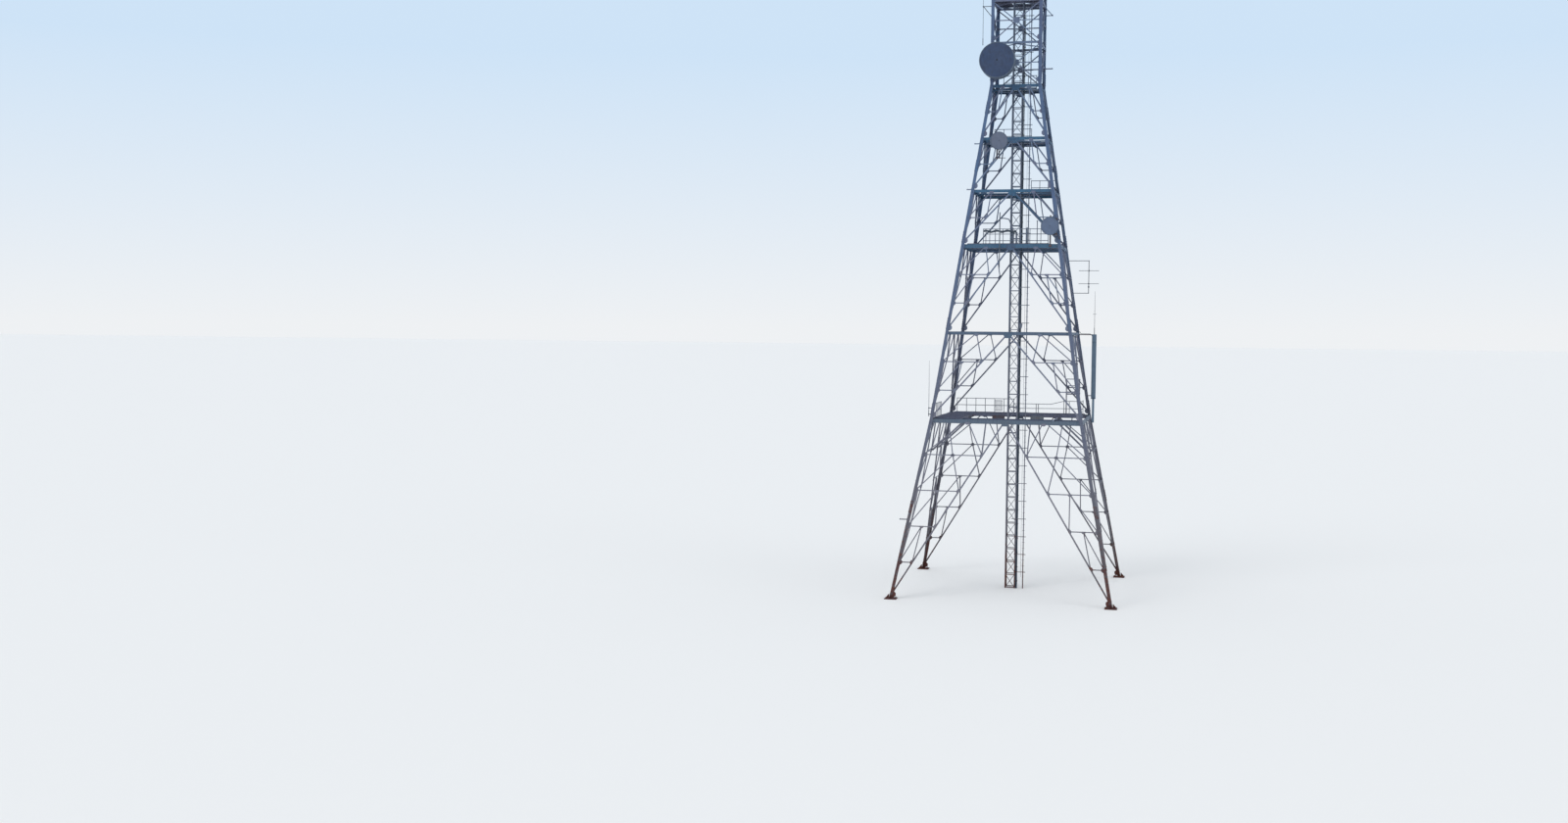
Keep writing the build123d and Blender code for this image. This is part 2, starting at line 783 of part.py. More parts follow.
# Dipole frame on the far right leg: two arms, an upright rod and two level rods
with BuildPart() as dipole_frame:
    top_edge = half_width(dipole_top) - leg_flange / 2
    bottom_edge = half_width(dipole_bottom) - leg_flange / 2
    add(arm(east, top_edge, dipole_line + rod_size / 2, dipole_top, antenna_arm, dipole_reach))
    add(arm(east, dipole_line - rod_size / 2, bottom_edge, dipole_bottom, antenna_arm, dipole_reach))
    upright_half = (dipole_top - dipole_bottom + antenna_arm) / 2
    with Locations((dipole_reach, dipole_line, (dipole_top + dipole_bottom) / 2)):
        Box(rod_size, rod_size, 2 * upright_half)
    for height in dipole_heights:
        with Locations((dipole_reach, dipole_line, height)):
            Box(dipole_length, rod_size, rod_size)
save(dipole_frame.part, "dipole_frame")

# Whip antennas: on the panel antenna, on the near left leg, high on the same leg, and on platform 2
with BuildPart() as right_whip:
    with Locations((panel_arm_reach + panel_width / 2, panel_line, panel_top)):
        Box(rod_size, rod_size, right_whip_length, align=on_floor)
    with Locations((panel_arm_reach + panel_width / 2, panel_line, panel_top + right_whip_cross)):
        Box(cross_length, rod_size, rod_size)

left_whip_line = half_width(left_whip_foot) - leg_flange / 2
clamp_left = left_whip_line - rod_size / 2
clamp_right = left_whip_line + rod_size / 2
with BuildPart() as left_whip:
    with Locations((-left_whip_reach, -left_whip_line, left_whip_foot)):
        Box(rod_size, rod_size, left_whip_length, align=on_floor)
    for height in left_whip_clamps:
        add(arm(west, clamp_left, clamp_right, height, antenna_arm, left_whip_reach))

top_whip_line = half_width(top_whip_arm) - leg_flange / 2
strut_foot = top_whip_arm - top_whip_strut_drop
strut_outline = [
    (half_width(strut_foot), strut_foot - antenna_arm),
    (top_whip_reach, top_whip_arm),
    (top_whip_reach - antenna_arm, top_whip_arm),
    (half_width(strut_foot), strut_foot),
]
with BuildPart() as top_whip:
    with Locations((-top_whip_reach, -top_whip_line, top_whip_foot)):
        Box(rod_size, rod_size, top_whip_length, align=on_floor)
    whip_left = top_whip_line - rod_size / 2
    whip_right = top_whip_line + rod_size / 2
    add(arm(west, whip_left, whip_right, top_whip_arm, antenna_arm, top_whip_reach))
    add(cross_section(west, whip_left, whip_right, strut_outline))

pole_back = half_width(pole_antenna_foot) + pole_antenna_gap
pole_left = -pole_antenna_place - pole_antenna_size / 2
pole_right = -pole_antenna_place + pole_antenna_size / 2
with BuildPart() as platform_pole:
    add(arm(south, pole_left, pole_right, platform_2_height, deep_beam / 2, pole_back, leg_thickness))
    with Locations((-pole_antenna_place, -pole_back, pole_antenna_foot)):
        pole_align = (Align.CENTER, Align.MAX, Align.MIN)
        Box(pole_antenna_size, pole_antenna_size, pole_antenna_length, align=pole_align)
save_all([right_whip.part, left_whip.part, top_whip.part, platform_pole.part], "whip_antennas")

# Lightning rod on a plate on top of the column
with BuildPart() as lightning_rod:
    with Locations((0, 0, column_top)):
        Box(2 * column_half, 2 * column_half, rod_plate, align=on_floor)
    with Locations((0, 0, column_top + rod_plate)):
        Box(rod_size, rod_size, lightning_rod_length, align=on_floor)
save(lightning_rod.part, "lightning_rod")

# Rest balcony: a floor on four posts that stand on platform 1, with rails round it
balcony_y = rail_line(deck_top_1, middle_lean) - balcony_setback
post_x = (balcony_width - balcony_post) / 2
post_y = (balcony_depth - balcony_post) / 2
balcony_x = balcony_left + balcony_width / 2
rail_top = balcony_floor + balcony_floor_thickness + balcony_rails[-1]
with BuildPart() as rest_balcony:
    with BuildSketch(Plane.XY.offset(deck_top_1)):
        with Locations((balcony_x, balcony_y)):
            with GridLocations(2 * post_x, 2 * post_y, 2, 2):
                Rectangle(balcony_post, balcony_post)
    extrude(amount=rail_top - deck_top_1)
    with Locations((balcony_x, balcony_y, balcony_floor)):
        Box(balcony_width, balcony_depth, balcony_floor_thickness, align=on_floor)
    for rise in balcony_rails:
        with BuildSketch(Plane.XY.offset(balcony_floor + balcony_floor_thickness + rise)):
            with Locations((balcony_x, balcony_y)):
                Rectangle(balcony_width, balcony_depth)
                inner_width = balcony_width - 2 * balcony_post
                Rectangle(inner_width, balcony_depth - 2 * balcony_post, mode=Mode.SUBTRACT)
        extrude(amount=-balcony_post)
save(rest_balcony.part, "rest_balcony")
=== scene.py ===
import math
import random
from itertools import product

import bpy
from mathutils import Matrix, Vector


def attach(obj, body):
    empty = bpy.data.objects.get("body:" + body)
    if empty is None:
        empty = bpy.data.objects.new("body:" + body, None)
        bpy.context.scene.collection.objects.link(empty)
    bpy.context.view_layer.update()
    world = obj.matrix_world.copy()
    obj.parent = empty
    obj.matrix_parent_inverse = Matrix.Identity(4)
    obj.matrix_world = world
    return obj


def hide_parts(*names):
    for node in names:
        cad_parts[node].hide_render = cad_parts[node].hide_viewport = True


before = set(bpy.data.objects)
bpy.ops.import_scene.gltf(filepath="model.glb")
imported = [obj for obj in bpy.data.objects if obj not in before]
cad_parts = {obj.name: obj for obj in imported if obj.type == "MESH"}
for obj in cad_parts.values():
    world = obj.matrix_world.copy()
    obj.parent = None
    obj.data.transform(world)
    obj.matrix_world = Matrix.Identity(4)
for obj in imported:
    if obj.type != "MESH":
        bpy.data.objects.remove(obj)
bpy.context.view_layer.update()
random.seed(11)

# Sizes of the half-scale mast, in metres
PLATFORM_1 = 6.0
LEVEL_2 = 8.9
PLATFORM_2 = 11.85
LEVEL_4 = 13.73
LEVEL_5 = 15.52
WAIST = 17.4
UPPER_BAY = 1.4325
UPPER_BAYS = 4
TOP = WAIST + UPPER_BAYS * UPPER_BAY
PLATFORM_3 = WAIST + 2 * UPPER_BAY
COLUMN_TOP = TOP + 0.65
BASE_HALF = 3.675
PLATFORM_1_HALF = 2.545
WAIST_HALF = 0.865
LEG_FLANGE = 0.11
LEG_THICKNESS = 0.012
BASE_PLATE = 0.025
BAR_DEPTH = 0.04
BAR_THICKNESS = 0.006
MAIN_WIDTH = 0.052
BAR_WIDTH = 0.035
GUSSET = 0.006
SET_IN = LEG_THICKNESS + GUSSET
CLEARANCE = 0.01
APEX_GAP = 0.025
DEEP_BEAM = 0.13
HIGH_BEAM = 0.1
MIDDLE_BEAM = 0.1
UPPER_BEAM = 0.07
BEAM_WEB = 0.007
LOWER_PANELS = 5
BOLT = 0.011
X = Vector((1, 0, 0))
Y = Vector((0, 1, 0))
Z = Vector((0, 0, 1))
SIDES = {"south": 0, "east": 90, "north": 180, "west": 270}
CORNERS = ((-1, -1), (1, -1), (1, 1), (-1, 1))
SIGNS = tuple(product((-1, 1), repeat=2))


class Shape:
    """Points and faces of a piece, with the place of each face corner across and along its member."""

    def __init__(self):
        self.points = []
        self.faces = []
        self.smooth = []
        self.bars = []
        self.spans = []

    def face(self, corners, places, span, smooth=False):
        self.faces.append(corners)
        self.smooth.append(smooth)
        for place in places:
            self.bars.extend(place)
            self.spans.extend(span)

    def skin(self, rings, smooth=False, caps=(True, True), tone=None):
        """Faces between rings of as many points each, closed at the ends."""
        count = len(rings[0])
        base = len(self.points)
        tone = random.random() if tone is None else tone
        stations = [0.0]
        for ring, following in zip(rings, rings[1:]):
            stations.append(stations[-1] + (following[0] - ring[0]).length)
        span = (stations[-1], tone)
        for ring in rings:
            self.points.extend(ring)
        low, high = (0.5, 0.5) if smooth else (0.0, 1.0)
        for r in range(len(rings) - 1):
            near, far = stations[r], stations[r + 1]
            first = base + r * count
            for i in range(count):
                j = (i + 1) % count
                corners = (first + i, first + j, first + count + j, first + count + i)
                self.face(corners, ((low, near), (high, near), (high, far), (low, far)), span, smooth)
        last = base + (len(rings) - 1) * count
        if caps[0]:
            self.face(tuple(range(base + count - 1, base - 1, -1)), ((0.5, 0.0),) * count, span)
        if caps[1]:
            self.face(tuple(range(last, last + count)), ((0.5, stations[-1]),) * count, span)


def signed_area(outline):
    pairs = zip(outline, outline[1:] + outline[:1])
    return sum(a[0] * b[1] - b[0] * a[1] for a, b in pairs)


def prism(shape, start, end, outline, u, v, smooth=False, caps=(True, True), tone=None):
    """Outline in two directions, drawn out from start to end."""
    ends = Vector(start), Vector(end)
    turned = u.cross(v).dot(ends[1] - ends[0]) * signed_area(outline)
    order = outline if turned > 0 else outline[::-1]
    rings = [[place + u * a + v * b for a, b in order] for place in ends]
    shape.skin(rings, smooth, caps, tone)


def circle(radius, sides, turn=0.0):
    step = 2 * math.pi / sides
    return [(radius * math.cos(turn + i * step), radius * math.sin(turn + i * step)) for i in range(sides)]


def rectangle(a_low, b_low, a_high, b_high):
    return [(a_low, b_low), (a_high, b_low), (a_high, b_high), (a_low, b_high)]


def oblong(half_a, half_b):
    return rectangle(-half_a, -half_b, half_a, half_b)


def rounded(width, depth, radius):
    """Rectangle with round corners, about its middle."""
    outline = []
    steps = 4
    for start, (cx, cy) in enumerate(((1, 1), (-1, 1), (-1, -1), (1, -1))):
        middle_x, middle_y = cx * (width / 2 - radius), cy * (depth / 2 - radius)
        for i in range(steps + 1):
            a = math.pi / 2 * (start + i / steps)
            outline.append((middle_x + radius * math.cos(a), middle_y + radius * math.sin(a)))
    return outline


def directions(bearing):
    """Directions along a side of the tower and out from it."""
    turned = math.radians(bearing)
    across = Vector((math.cos(turned), math.sin(turned), 0))
    return across, Vector((across.y, -across.x, 0))


def square_axes(run):
    """Two directions square to a run."""
    run = run.normalized()
    u = (Y if abs(run.y) < 0.9 else X).cross(run).normalized()
    return u, run.cross(u)


def tube(shape, start, end, radius, sides=12):
    start, end = Vector(start), Vector(end)
    u, v = square_axes(end - start)
    prism(shape, start, end, circle(radius, sides), u, v, smooth=True)


def stand(shape, x, y, low, high, radius, sides=12):
    """Upright tube between two heights."""
    tube(shape, (x, y, low), (x, y, high), radius, sides)


def pipe(shape, points, radius, sides=10, tone=None):
    """Round pipe that follows points."""
    u, v = square_axes(points[1] - points[0])
    rings = []
    for i, place in enumerate(points):
        run = (points[min(i + 1, len(points) - 1)] - points[max(i - 1, 0)]).normalized()
        u = (u - run * u.dot(run)).normalized()
        v = run.cross(u)
        rings.append([place + u * a + v * b for a, b in circle(radius, sides)])
    shape.skin(rings, smooth=True, tone=tone)


def bent(corners, radius):
    """Points of a run through corners, each one rounded."""
    steps = 5
    corners = [Vector(c) for c in corners]
    points = [corners[0]]
    for before, corner, after in zip(corners, corners[1:], corners[2:]):
        back = corner + (before - corner).normalized() * radius
        ahead = corner + (after - corner).normalized() * radius
        for i in range(steps + 1):
            t = i / steps
            points.append(back.lerp(corner, t).lerp(corner.lerp(ahead, t), t))
    return points + [corners[-1]]


def lathe(shape, profile, origin, axis, sides=48, caps=(True, True)):
    """Profile of radius and distance, turned round an axis."""
    u, v = square_axes(axis)
    rings = []
    for radius, distance in profile:
        centre = Vector(origin) + axis * distance
        rings.append([centre + u * a + v * b for a, b in circle(radius, sides)])
    shape.skin(rings, smooth=True, caps=caps)


def ball(shape, centre, radius):
    steps = 6
    angles = [math.pi * (i + 0.25) / (steps + 0.5) for i in range(steps + 1)]
    profile = [(radius * math.sin(a), -radius * math.cos(a)) for a in angles]
    lathe(shape, profile, centre, Z, 10)


def box(shape, low, high):
    low, high = Vector(low), Vector(high)
    prism(shape, Z * low.z, Z * high.z, rectangle(low.x, low.y, high.x, high.y), X, Y)


def rounded_case(shape, centre, width, depth, radius, levels, smooth=False):
    """Upright case with round corners, drawn in at its ends by the inset of each level."""
    rings = []
    for z, inset in levels:
        outline = rounded(width - 2 * inset, depth - 2 * inset, radius)
        rings.append([centre + Vector((a, b, z)) for a, b in outline])
    shape.skin(rings, smooth)


def plate(shape, place, u, v, outline, thickness):
    """Flat plate with bevelled edges, drawn out from its back face along u x v."""
    normal = u.cross(v).normalized()
    if signed_area(outline) < 0:
        outline = outline[::-1]
    centre_a, centre_b = (sum(p[k] for p in outline) / len(outline) for k in (0, 1))
    bevel = thickness * 0.25
    rings = []
    for distance, inset in ((0, bevel), (bevel, 0), (thickness - bevel, 0), (thickness, bevel)):
        back = Vector(place) + normal * distance
        ring = []
        for a, b in outline:
            out_a, out_b = a - centre_a, b - centre_b
            share = 1 - inset / math.hypot(out_a, out_b)
            ring.append(back + u * (centre_a + out_a * share) + v * (centre_b + out_b * share))
        rings.append(ring)
    shape.skin(rings)


def angle_outline(width, depth, thickness, centred=True):
    """Angle section with its heel at the high end of its width."""
    heel = width / 2 if centred else width
    toe = heel - width
    inner = heel - thickness
    root = thickness * 0.8
    return [(toe, 0), (heel, 0), (heel, depth), (inner, depth),
            (inner, thickness + root), (inner - root, thickness), (toe, thickness)]


def channel_outline(height, depth, thickness):
    half = height / 2
    inner = half - thickness
    return [(-half, 0), (half, 0), (half, depth), (inner, depth),
            (inner, thickness), (-inner, thickness), (-inner, depth), (-half, depth)]


def joist_outline(width, depth):
    """I section between 0 and its width and depth."""
    thickness = 0.006
    web = (width - thickness) / 2
    low, high = thickness, depth - thickness
    return [(0, 0), (width, 0), (width, low), (width - web, low), (width - web, high), (width, high),
            (width, depth), (0, depth), (0, high), (web, high), (web, low), (0, low)]


def nut(shape, place, outward, size, tail=0.0):
    """Washer and hexagon on a face, with the bolt's end beyond it if it has a tail."""
    u, v = square_axes(outward)
    turn = random.random()
    washer_top, nut_top = size * 0.2, size * 0.85
    layers = [(1.1, 8, 0.0, washer_top), (0.88, 6, washer_top, nut_top)]
    if tail:
        layers.append((0.45, 6, nut_top, nut_top + tail))
    for share, sides, near, far in layers:
        start, end = (Vector(place) + outward * distance for distance in (near, far))
        prism(shape, start, end, circle(size * share, sides, turn), u, v, caps=(False, True), tone=turn)


def bolt(shape, place, outward, grip):
    """Bolt head on a face, and its nut on the other side of what it grips."""
    nut(shape, place, outward, BOLT)
    nut(shape, place - outward * grip, -outward, BOLT, BOLT * 0.35)


class Side:
    """One side of a section of the tower: a plane that leans in from its foot, with a place on it
    by distance across, height, and depth set in square to it."""

    def __init__(self, bearing, foot, foot_half, head, head_half):
        self.across, self.outward = directions(bearing)
        self.foot = foot
        self.foot_half = foot_half
        self.rate = (foot_half - head_half) / (head - foot)
        self.slope = math.atan(self.rate)
        self.normal = self.outward * math.cos(self.slope) + Z * math.sin(self.slope)
        self.up = self.normal.cross(self.across)
        self.bar_run_in = BAR_DEPTH / math.cos(self.slope)

    def half(self, z):
        return self.foot_half - self.rate * (z - self.foot)

    def at(self, x, z, depth=0.0):
        return self.across * x + self.outward * (self.half(z) - depth / math.cos(self.slope)) + Z * z

    def reach(self, z):
        """How far bars run out, short of the bars of the next side."""
        return self.half(z) - SET_IN - self.bar_run_in - CLEARANCE


SECTION_ENDS = ((0.0, BASE_HALF), (PLATFORM_1, PLATFORM_1_HALF), (WAIST, WAIST_HALF), (TOP, WAIST_HALF))
SECTIONS = {}
for section, foot, head in zip(("lower", "middle", "upper"), SECTION_ENDS, SECTION_ENDS[1:]):
    SECTIONS[section] = {name: Side(bearing, *foot, *head) for name, bearing in SIDES.items()}


def side_at(z):
    """South side of the section that holds a height."""
    return SECTIONS["upper" if z > WAIST else "middle" if z > PLATFORM_1 else "lower"]["south"]


def half_width(z):
    return side_at(z).half(z)


def inner_face(z):
    """Half width inside the beams."""
    return half_width(z) - LEG_THICKNESS - side_at(z).bar_run_in


def clip(side, start, end, low, high, inner=APEX_GAP):
    """Stretch of a half panel's line that stays between the middle, the leg and two heights."""
    near, far = 0.0, 1.0

    def room(point):
        x, z = abs(point[0]), point[1]
        return x - inner, side.reach(z) - x, z - low, high - z

    for first, last in zip(room(start), room(end)):
        if first < 0 and last < 0:
            return None
        if first < 0:
            near = max(near, first / (first - last))
        elif last < 0:
            far = min(far, first / (first - last))
    if far <= near:
        return None
    return [tuple(a + (b - a) * t for a, b in zip(start, end)) for t in (near, far)]


def bar(shape, side, start, end, width=BAR_WIDTH, trims=(0.0, 0.0)):
    """Angle bar on the gussets of a side, its heel upwards, with two bolts at each end."""
    first = side.at(*start, SET_IN)
    last = side.at(*end, SET_IN)
    run = (last - first).normalized()
    first = first + run * trims[0]
    last = last - run * trims[1]
    u = run.cross(side.normal)
    if u.z < 0 or (abs(u.z) < 0.3 and u.dot(side.across) * start[0] < 0):
        u = -u
    prism(shape, first, last, angle_outline(width, BAR_DEPTH, BAR_THICKNESS), u, -side.normal)
    for bar_end, inward in ((first, run), (last, -run)):
        for distance in (0.02, 0.06):
            through_leg(shape, side, bar_end + inward * distance - u * width * 0.1)


def through_leg(shape, side, place):
    """Bolt through a bar and its gusset, and through the leg where the leg covers them."""
    on_leg = abs(place.dot(side.across)) > side.half(place.z) - LEG_FLANGE
    outer = SET_IN if on_leg else GUSSET
    bolt(shape, place + side.normal * outer, side.normal, outer + BAR_THICKNESS)


def gusset(shape, side, x, z, outline, along=None):
    """Gusset plate on a side, its outline round a place, turned along a direction on the side."""
    u = side.across if along is None else along
    plate(shape, side.at(x, z, SET_IN), u, side.normal.cross(u), outline, GUSSET)


LEG_GUSSET = ((0.02, 0.085), (0.12, 0.085), (0.17, 0.035), (0.17, -0.035), (0.12, -0.085), (0.02, -0.085))
BAR_GUSSET = ((-0.085, -0.026), (0.085, -0.026), (0.085, 0.03),
              (0.04, 0.075), (-0.04, 0.075), (-0.085, 0.03))
BEAM_GUSSET_HALF = 0.155
BEAM_GUSSET_DROP = 0.21


def leg_joint(shape, side, sign, z, size=1.0):
    """Gusset inside the leg flange, with three bolts through the flange."""
    outline = [(-sign * a * (size if a > 0.1 else 1), b * size) for a, b in LEG_GUSSET]
    gusset(shape, side, sign * side.half(z), z, outline)
    for rise in (-0.06, 0.0, 0.06):
        height = z + rise * size
        place = side.at(sign * (side.half(height) - 0.056), height)
        bolt(shape, place, side.normal, SET_IN)


def bar_joint(shape, side, x, z, along, toward, size=1.0):
    """Gusset on a bar where others meet it, lying mostly toward one side of it."""
    u = along.normalized()
    flip = 1 if side.normal.cross(u).dot(toward) > 0 else -1
    gusset(shape, side, x, z, [(a * size, flip * b * size) for a, b in BAR_GUSSET], u)
    for distance in (-0.065, 0.065):
        through_leg(shape, side, side.at(x, z, SET_IN) + u * distance * size)


def k_panel(shape, side, sign, low, high, steps, beam_height, foot_reach, post=None):
    """Half a K panel: a main bar from the middle of the beam above to the foot of the leg, level
    bars from the leg to it, and the short bars that hold them."""
    rise = beam_height - low
    slanted = [(sign * foot_reach * i / steps, beam_height - rise * i / steps) for i in range(steps + 1)]
    on_leg = [(sign * side.reach(z), z) for _, z in slanted]
    halfways = [((a[0] + b[0]) / 2, a[1]) for a, b in zip(slanted[1:-2], on_leg[1:-2])]
    quarter = (sign * side.half(beam_height) / 2, beam_height)
    members = [(slanted[0], slanted[-1], MAIN_WIDTH, (0.03, 0.0))]
    for inner, outer in zip(slanted[1:-1], on_leg[1:-1]):
        members.append((inner, outer, BAR_WIDTH, (0.045, 0.0)))
    members.append((slanted[1], quarter, BAR_WIDTH, (0.05, 0.0)))
    members.append((on_leg[1], quarter, BAR_WIDTH, (0.04, 0.0)))
    for halfway, inner, outer in zip(halfways, slanted[2:], on_leg[2:]):
        members.append((halfway, inner, BAR_WIDTH, (0.045, 0.055)))
        members.append((halfway, outer, BAR_WIDTH, (0.045, 0.04)))
    if post:
        foot, head = ((sign * x, z) for x, z in post)
        members.append((foot, head, BAR_WIDTH, (0.03, 0.0)))
    for start, end, width, trims in members:
        ends = clip(side, start, end, low, high)
        if ends:
            bar(shape, side, *ends, width, trims)
    main_run = side.at(*slanted[-1]) - side.at(*slanted[0])
    for inner, outer in zip(slanted[1:-1], on_leg[1:-1]):
        bar_joint(shape, side, *inner, main_run, side.across * sign)
        leg_joint(shape, side, sign, outer[1])
    for halfway in halfways:
        bar_joint(shape, side, *halfway, side.across, -Z, 0.8)
    if post:
        bar_joint(shape, side, *foot, side.across, Z, 0.7)
    bar_joint(shape, side, quarter[0], high + 0.02, side.across, -Z, 0.9)
    leg_joint(shape, side, sign, low + 0.13, 1.15)


def beam(shape, side, z, depth):
    """Channel beam between two legs, with the gusset of the K bars at its middle."""
    top = z + depth / 2
    end = side.reach(top)
    outline = channel_outline(depth / math.cos(side.slope), BAR_DEPTH, BEAM_WEB)
    prism(shape, side.at(-end, z, SET_IN), side.at(end, z, SET_IN), outline, side.up, -side.normal)
    half, drop = BEAM_GUSSET_HALF, BEAM_GUSSET_DROP
    shoulders = [(half, -0.5 * drop), (0.6 * half, -drop), (-0.6 * half, -drop), (-half, -0.5 * drop)]
    gusset(shape, side, 0, top, [(-half, 0), (half, 0)] + shoulders)
    for x, share in product((-0.12, -0.04, 0.04, 0.12), (0.3, 0.75)):
        place = side.at(x, top, LEG_THICKNESS) - side.up * depth * share
        bolt(shape, place, side.normal, GUSSET + BEAM_WEB)
    for sign in (-1, 1):
        leg_joint(shape, side, sign, z, 0.8)
        for inset, share in product((0.085, 0.125), (-0.28, 0.28)):
            height = z + share * depth
            x = sign * (side.half(height) - LEG_THICKNESS - BAR_DEPTH - inset)
            through_leg(shape, side, side.at(x, height, SET_IN))
    inner_half = depth / 2 - 0.009
    stiffener = rectangle(-inner_half, 0, inner_half, 0.03)
    half_thickness = side.across * 0.003
    for share in (-0.66, -0.33, 0.33, 0.66):
        place = side.at(end * share, z, SET_IN + BEAM_WEB)
        prism(shape, place - half_thickness, place + half_thickness, stiffener, side.up, -side.normal)


def adder(tree):
    """Way to add nodes to a tree, each input with a value or a link."""

    def add(kind, inputs=(), **settings):
        node = tree.nodes.new(kind)
        for key, value in settings.items():
            setattr(node, key, value)
        for key, value in dict(inputs).items():
            if isinstance(value, bpy.types.NodeSocket):
                tree.links.new(value, node.inputs[key])
            else:
                node.inputs[key].default_value = value
        return node

    return add


def mixer(add, share, first, second):
    return add("ShaderNodeMix", {0: share, 6: first, 7: second}, data_type="RGBA").outputs[2]


NEAR_FOOT_DARK = (0.05, 0.046, 0.046, 1)
RUST_DARK = (0.05, 0.021, 0.018, 1)
RUST_ORANGE = (0.16, 0.058, 0.036, 1)
RUST_PURPLE = (0.085, 0.034, 0.034, 1)


def weathered(name, paint, second, rust=0.0, rust_from=3.4, rust_at=0.5, roughness=0.55, dirt=0.5,
              bump=0.25, metallic=0.0, run_stretch=(6.0, 6.0, 0.5), low_paint=None):
    """Weathered paint on steel: blotches, runs of dirt, and rust at edges, ends and towards the foot."""
    material = bpy.data.materials.new(name)
    material.use_nodes = True
    tree = material.node_tree
    shader = tree.nodes["Principled BSDF"]
    add = adder(tree)

    def maths(operation, first, other=0.0):
        return add("ShaderNodeMath", {0: first, 1: other}, operation=operation).outputs[0]

    def weighted(*terms):
        """Sum of values by their weights."""
        parts = [maths("MULTIPLY", value, weight) for value, weight in terms]
        total = parts[0]
        for part in parts[1:]:
            total = maths("ADD", total, part)
        return total

    def ranged(value, low, high, to_low=0.0, to_high=1.0):
        inputs = {"Value": value, "From Min": low, "From Max": high, "To Min": to_low, "To Max": to_high}
        return add("ShaderNodeMapRange", inputs).outputs[0]

    def noise(scale, detail=4.0, stretch=(1, 1, 1), rough=0.55):
        spread = add("ShaderNodeMapping", {"Vector": place, "Scale": stretch}).outputs[0]
        inputs = {"Vector": spread, "Scale": scale, "Detail": detail, "Roughness": rough}
        return add("ShaderNodeTexNoise", inputs).outputs[0]

    def layer(uv_map):
        return add("ShaderNodeSeparateXYZ", {0: add("ShaderNodeUVMap", uv_map=uv_map).outputs[0]}).outputs

    place = add("ShaderNodeTexCoord").outputs["Object"]
    height = add("ShaderNodeSeparateXYZ", {0: place}).outputs[2]
    across, along = layer("bar")[:2]
    length, own_tone = layer("span")[:2]
    edge = ranged(maths("ABSOLUTE", maths("SUBTRACT", across, 0.5)), 0.38, 0.5)
    ends = ranged(maths("MINIMUM", along, maths("SUBTRACT", length, along)), 0.16, 0.0)
    blotch = noise(1.7, 5.0)
    patch = noise(9.0, 6.0, rough=0.7)
    grain = noise(60.0, 5.0, rough=0.65)
    runs = noise(7.0, 4.0, run_stretch)
    near_foot = ranged(height, rust_from, rust_at)

    tone = weighted((own_tone, 0.55), (blotch, 0.75))
    base = mixer(add, ranged(tone, 0.25, 0.95), (*paint, 1), (*second, 1))
    worn = [c * 1.5 + 0.02 for c in paint]
    base = mixer(add, maths("MULTIPLY", ranged(patch, 0.56, 0.7), 0.4), base, (*worn, 1))
    if low_paint:
        drift = maths("ADD", height, maths("MULTIPLY", blotch, 5.0))
        base = mixer(add, ranged(drift, 5.0, 16.0), (*low_paint, 1), base)
        base = mixer(add, maths("MULTIPLY", near_foot, 0.65), base, NEAR_FOOT_DARK)
    dark = [c * 0.5 for c in second]
    base = mixer(add, maths("MULTIPLY", ranged(runs, 0.45, 0.75), dirt), base, (*dark, 1))

    streaks = ranged(runs, 0.4, 0.8)
    drive = weighted((patch, 0.62), (grain, 0.28), (edge, 0.09), (ends, 0.1), (near_foot, 0.26),
                     (streaks, 0.1))
    mask = ranged(drive, 0.66 - rust, 0.76 - rust)
    rust_colour = mixer(add, ranged(grain, 0.35, 0.65), RUST_DARK, RUST_ORANGE)
    rust_colour = mixer(add, ranged(blotch, 0.4, 0.62), rust_colour, RUST_PURPLE)
    gloss = ranged(weighted((mask, 0.6), (patch, 0.5)), 0.1, 0.95, roughness - 0.12, 0.92)
    rough_rust = maths("ADD", maths("MULTIPLY", mask, 0.8), 0.25)
    relief = maths("ADD", maths("MULTIPLY", grain, rough_rust), maths("MULTIPLY", patch, 0.3))
    bumps = add("ShaderNodeBump", {"Height": relief, "Strength": bump, "Distance": 0.004})
    tree.links.new(mixer(add, mask, base, rust_colour), shader.inputs["Base Color"])
    tree.links.new(gloss, shader.inputs["Roughness"])
    tree.links.new(bumps.outputs[0], shader.inputs["Normal"])
    shader.inputs["Metallic"].default_value = metallic
    shader.inputs["Specular IOR Level"].default_value = 0.3
    return material


def piece(name, shape, material, slot, *nodes):
    """Object of a shape, riding on the mast and standing for CAD nodes where it replaces them."""
    mesh = bpy.data.meshes.new(name)
    mesh.from_pydata(shape.points, [], shape.faces)
    for layer, values in (("bar", shape.bars), ("span", shape.spans)):
        mesh.uv_layers.new(name=layer).data.foreach_set("uv", values)
    mesh.polygons.foreach_set("use_smooth", shape.smooth)
    mesh.materials.append(material)
    mesh.set_sharp_from_angle(angle=math.radians(38))
    mesh.update()
    thing = bpy.data.objects.new(name, mesh)
    bpy.context.scene.collection.objects.link(thing)
    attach(thing, "root")
    if nodes:
        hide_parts(*nodes)


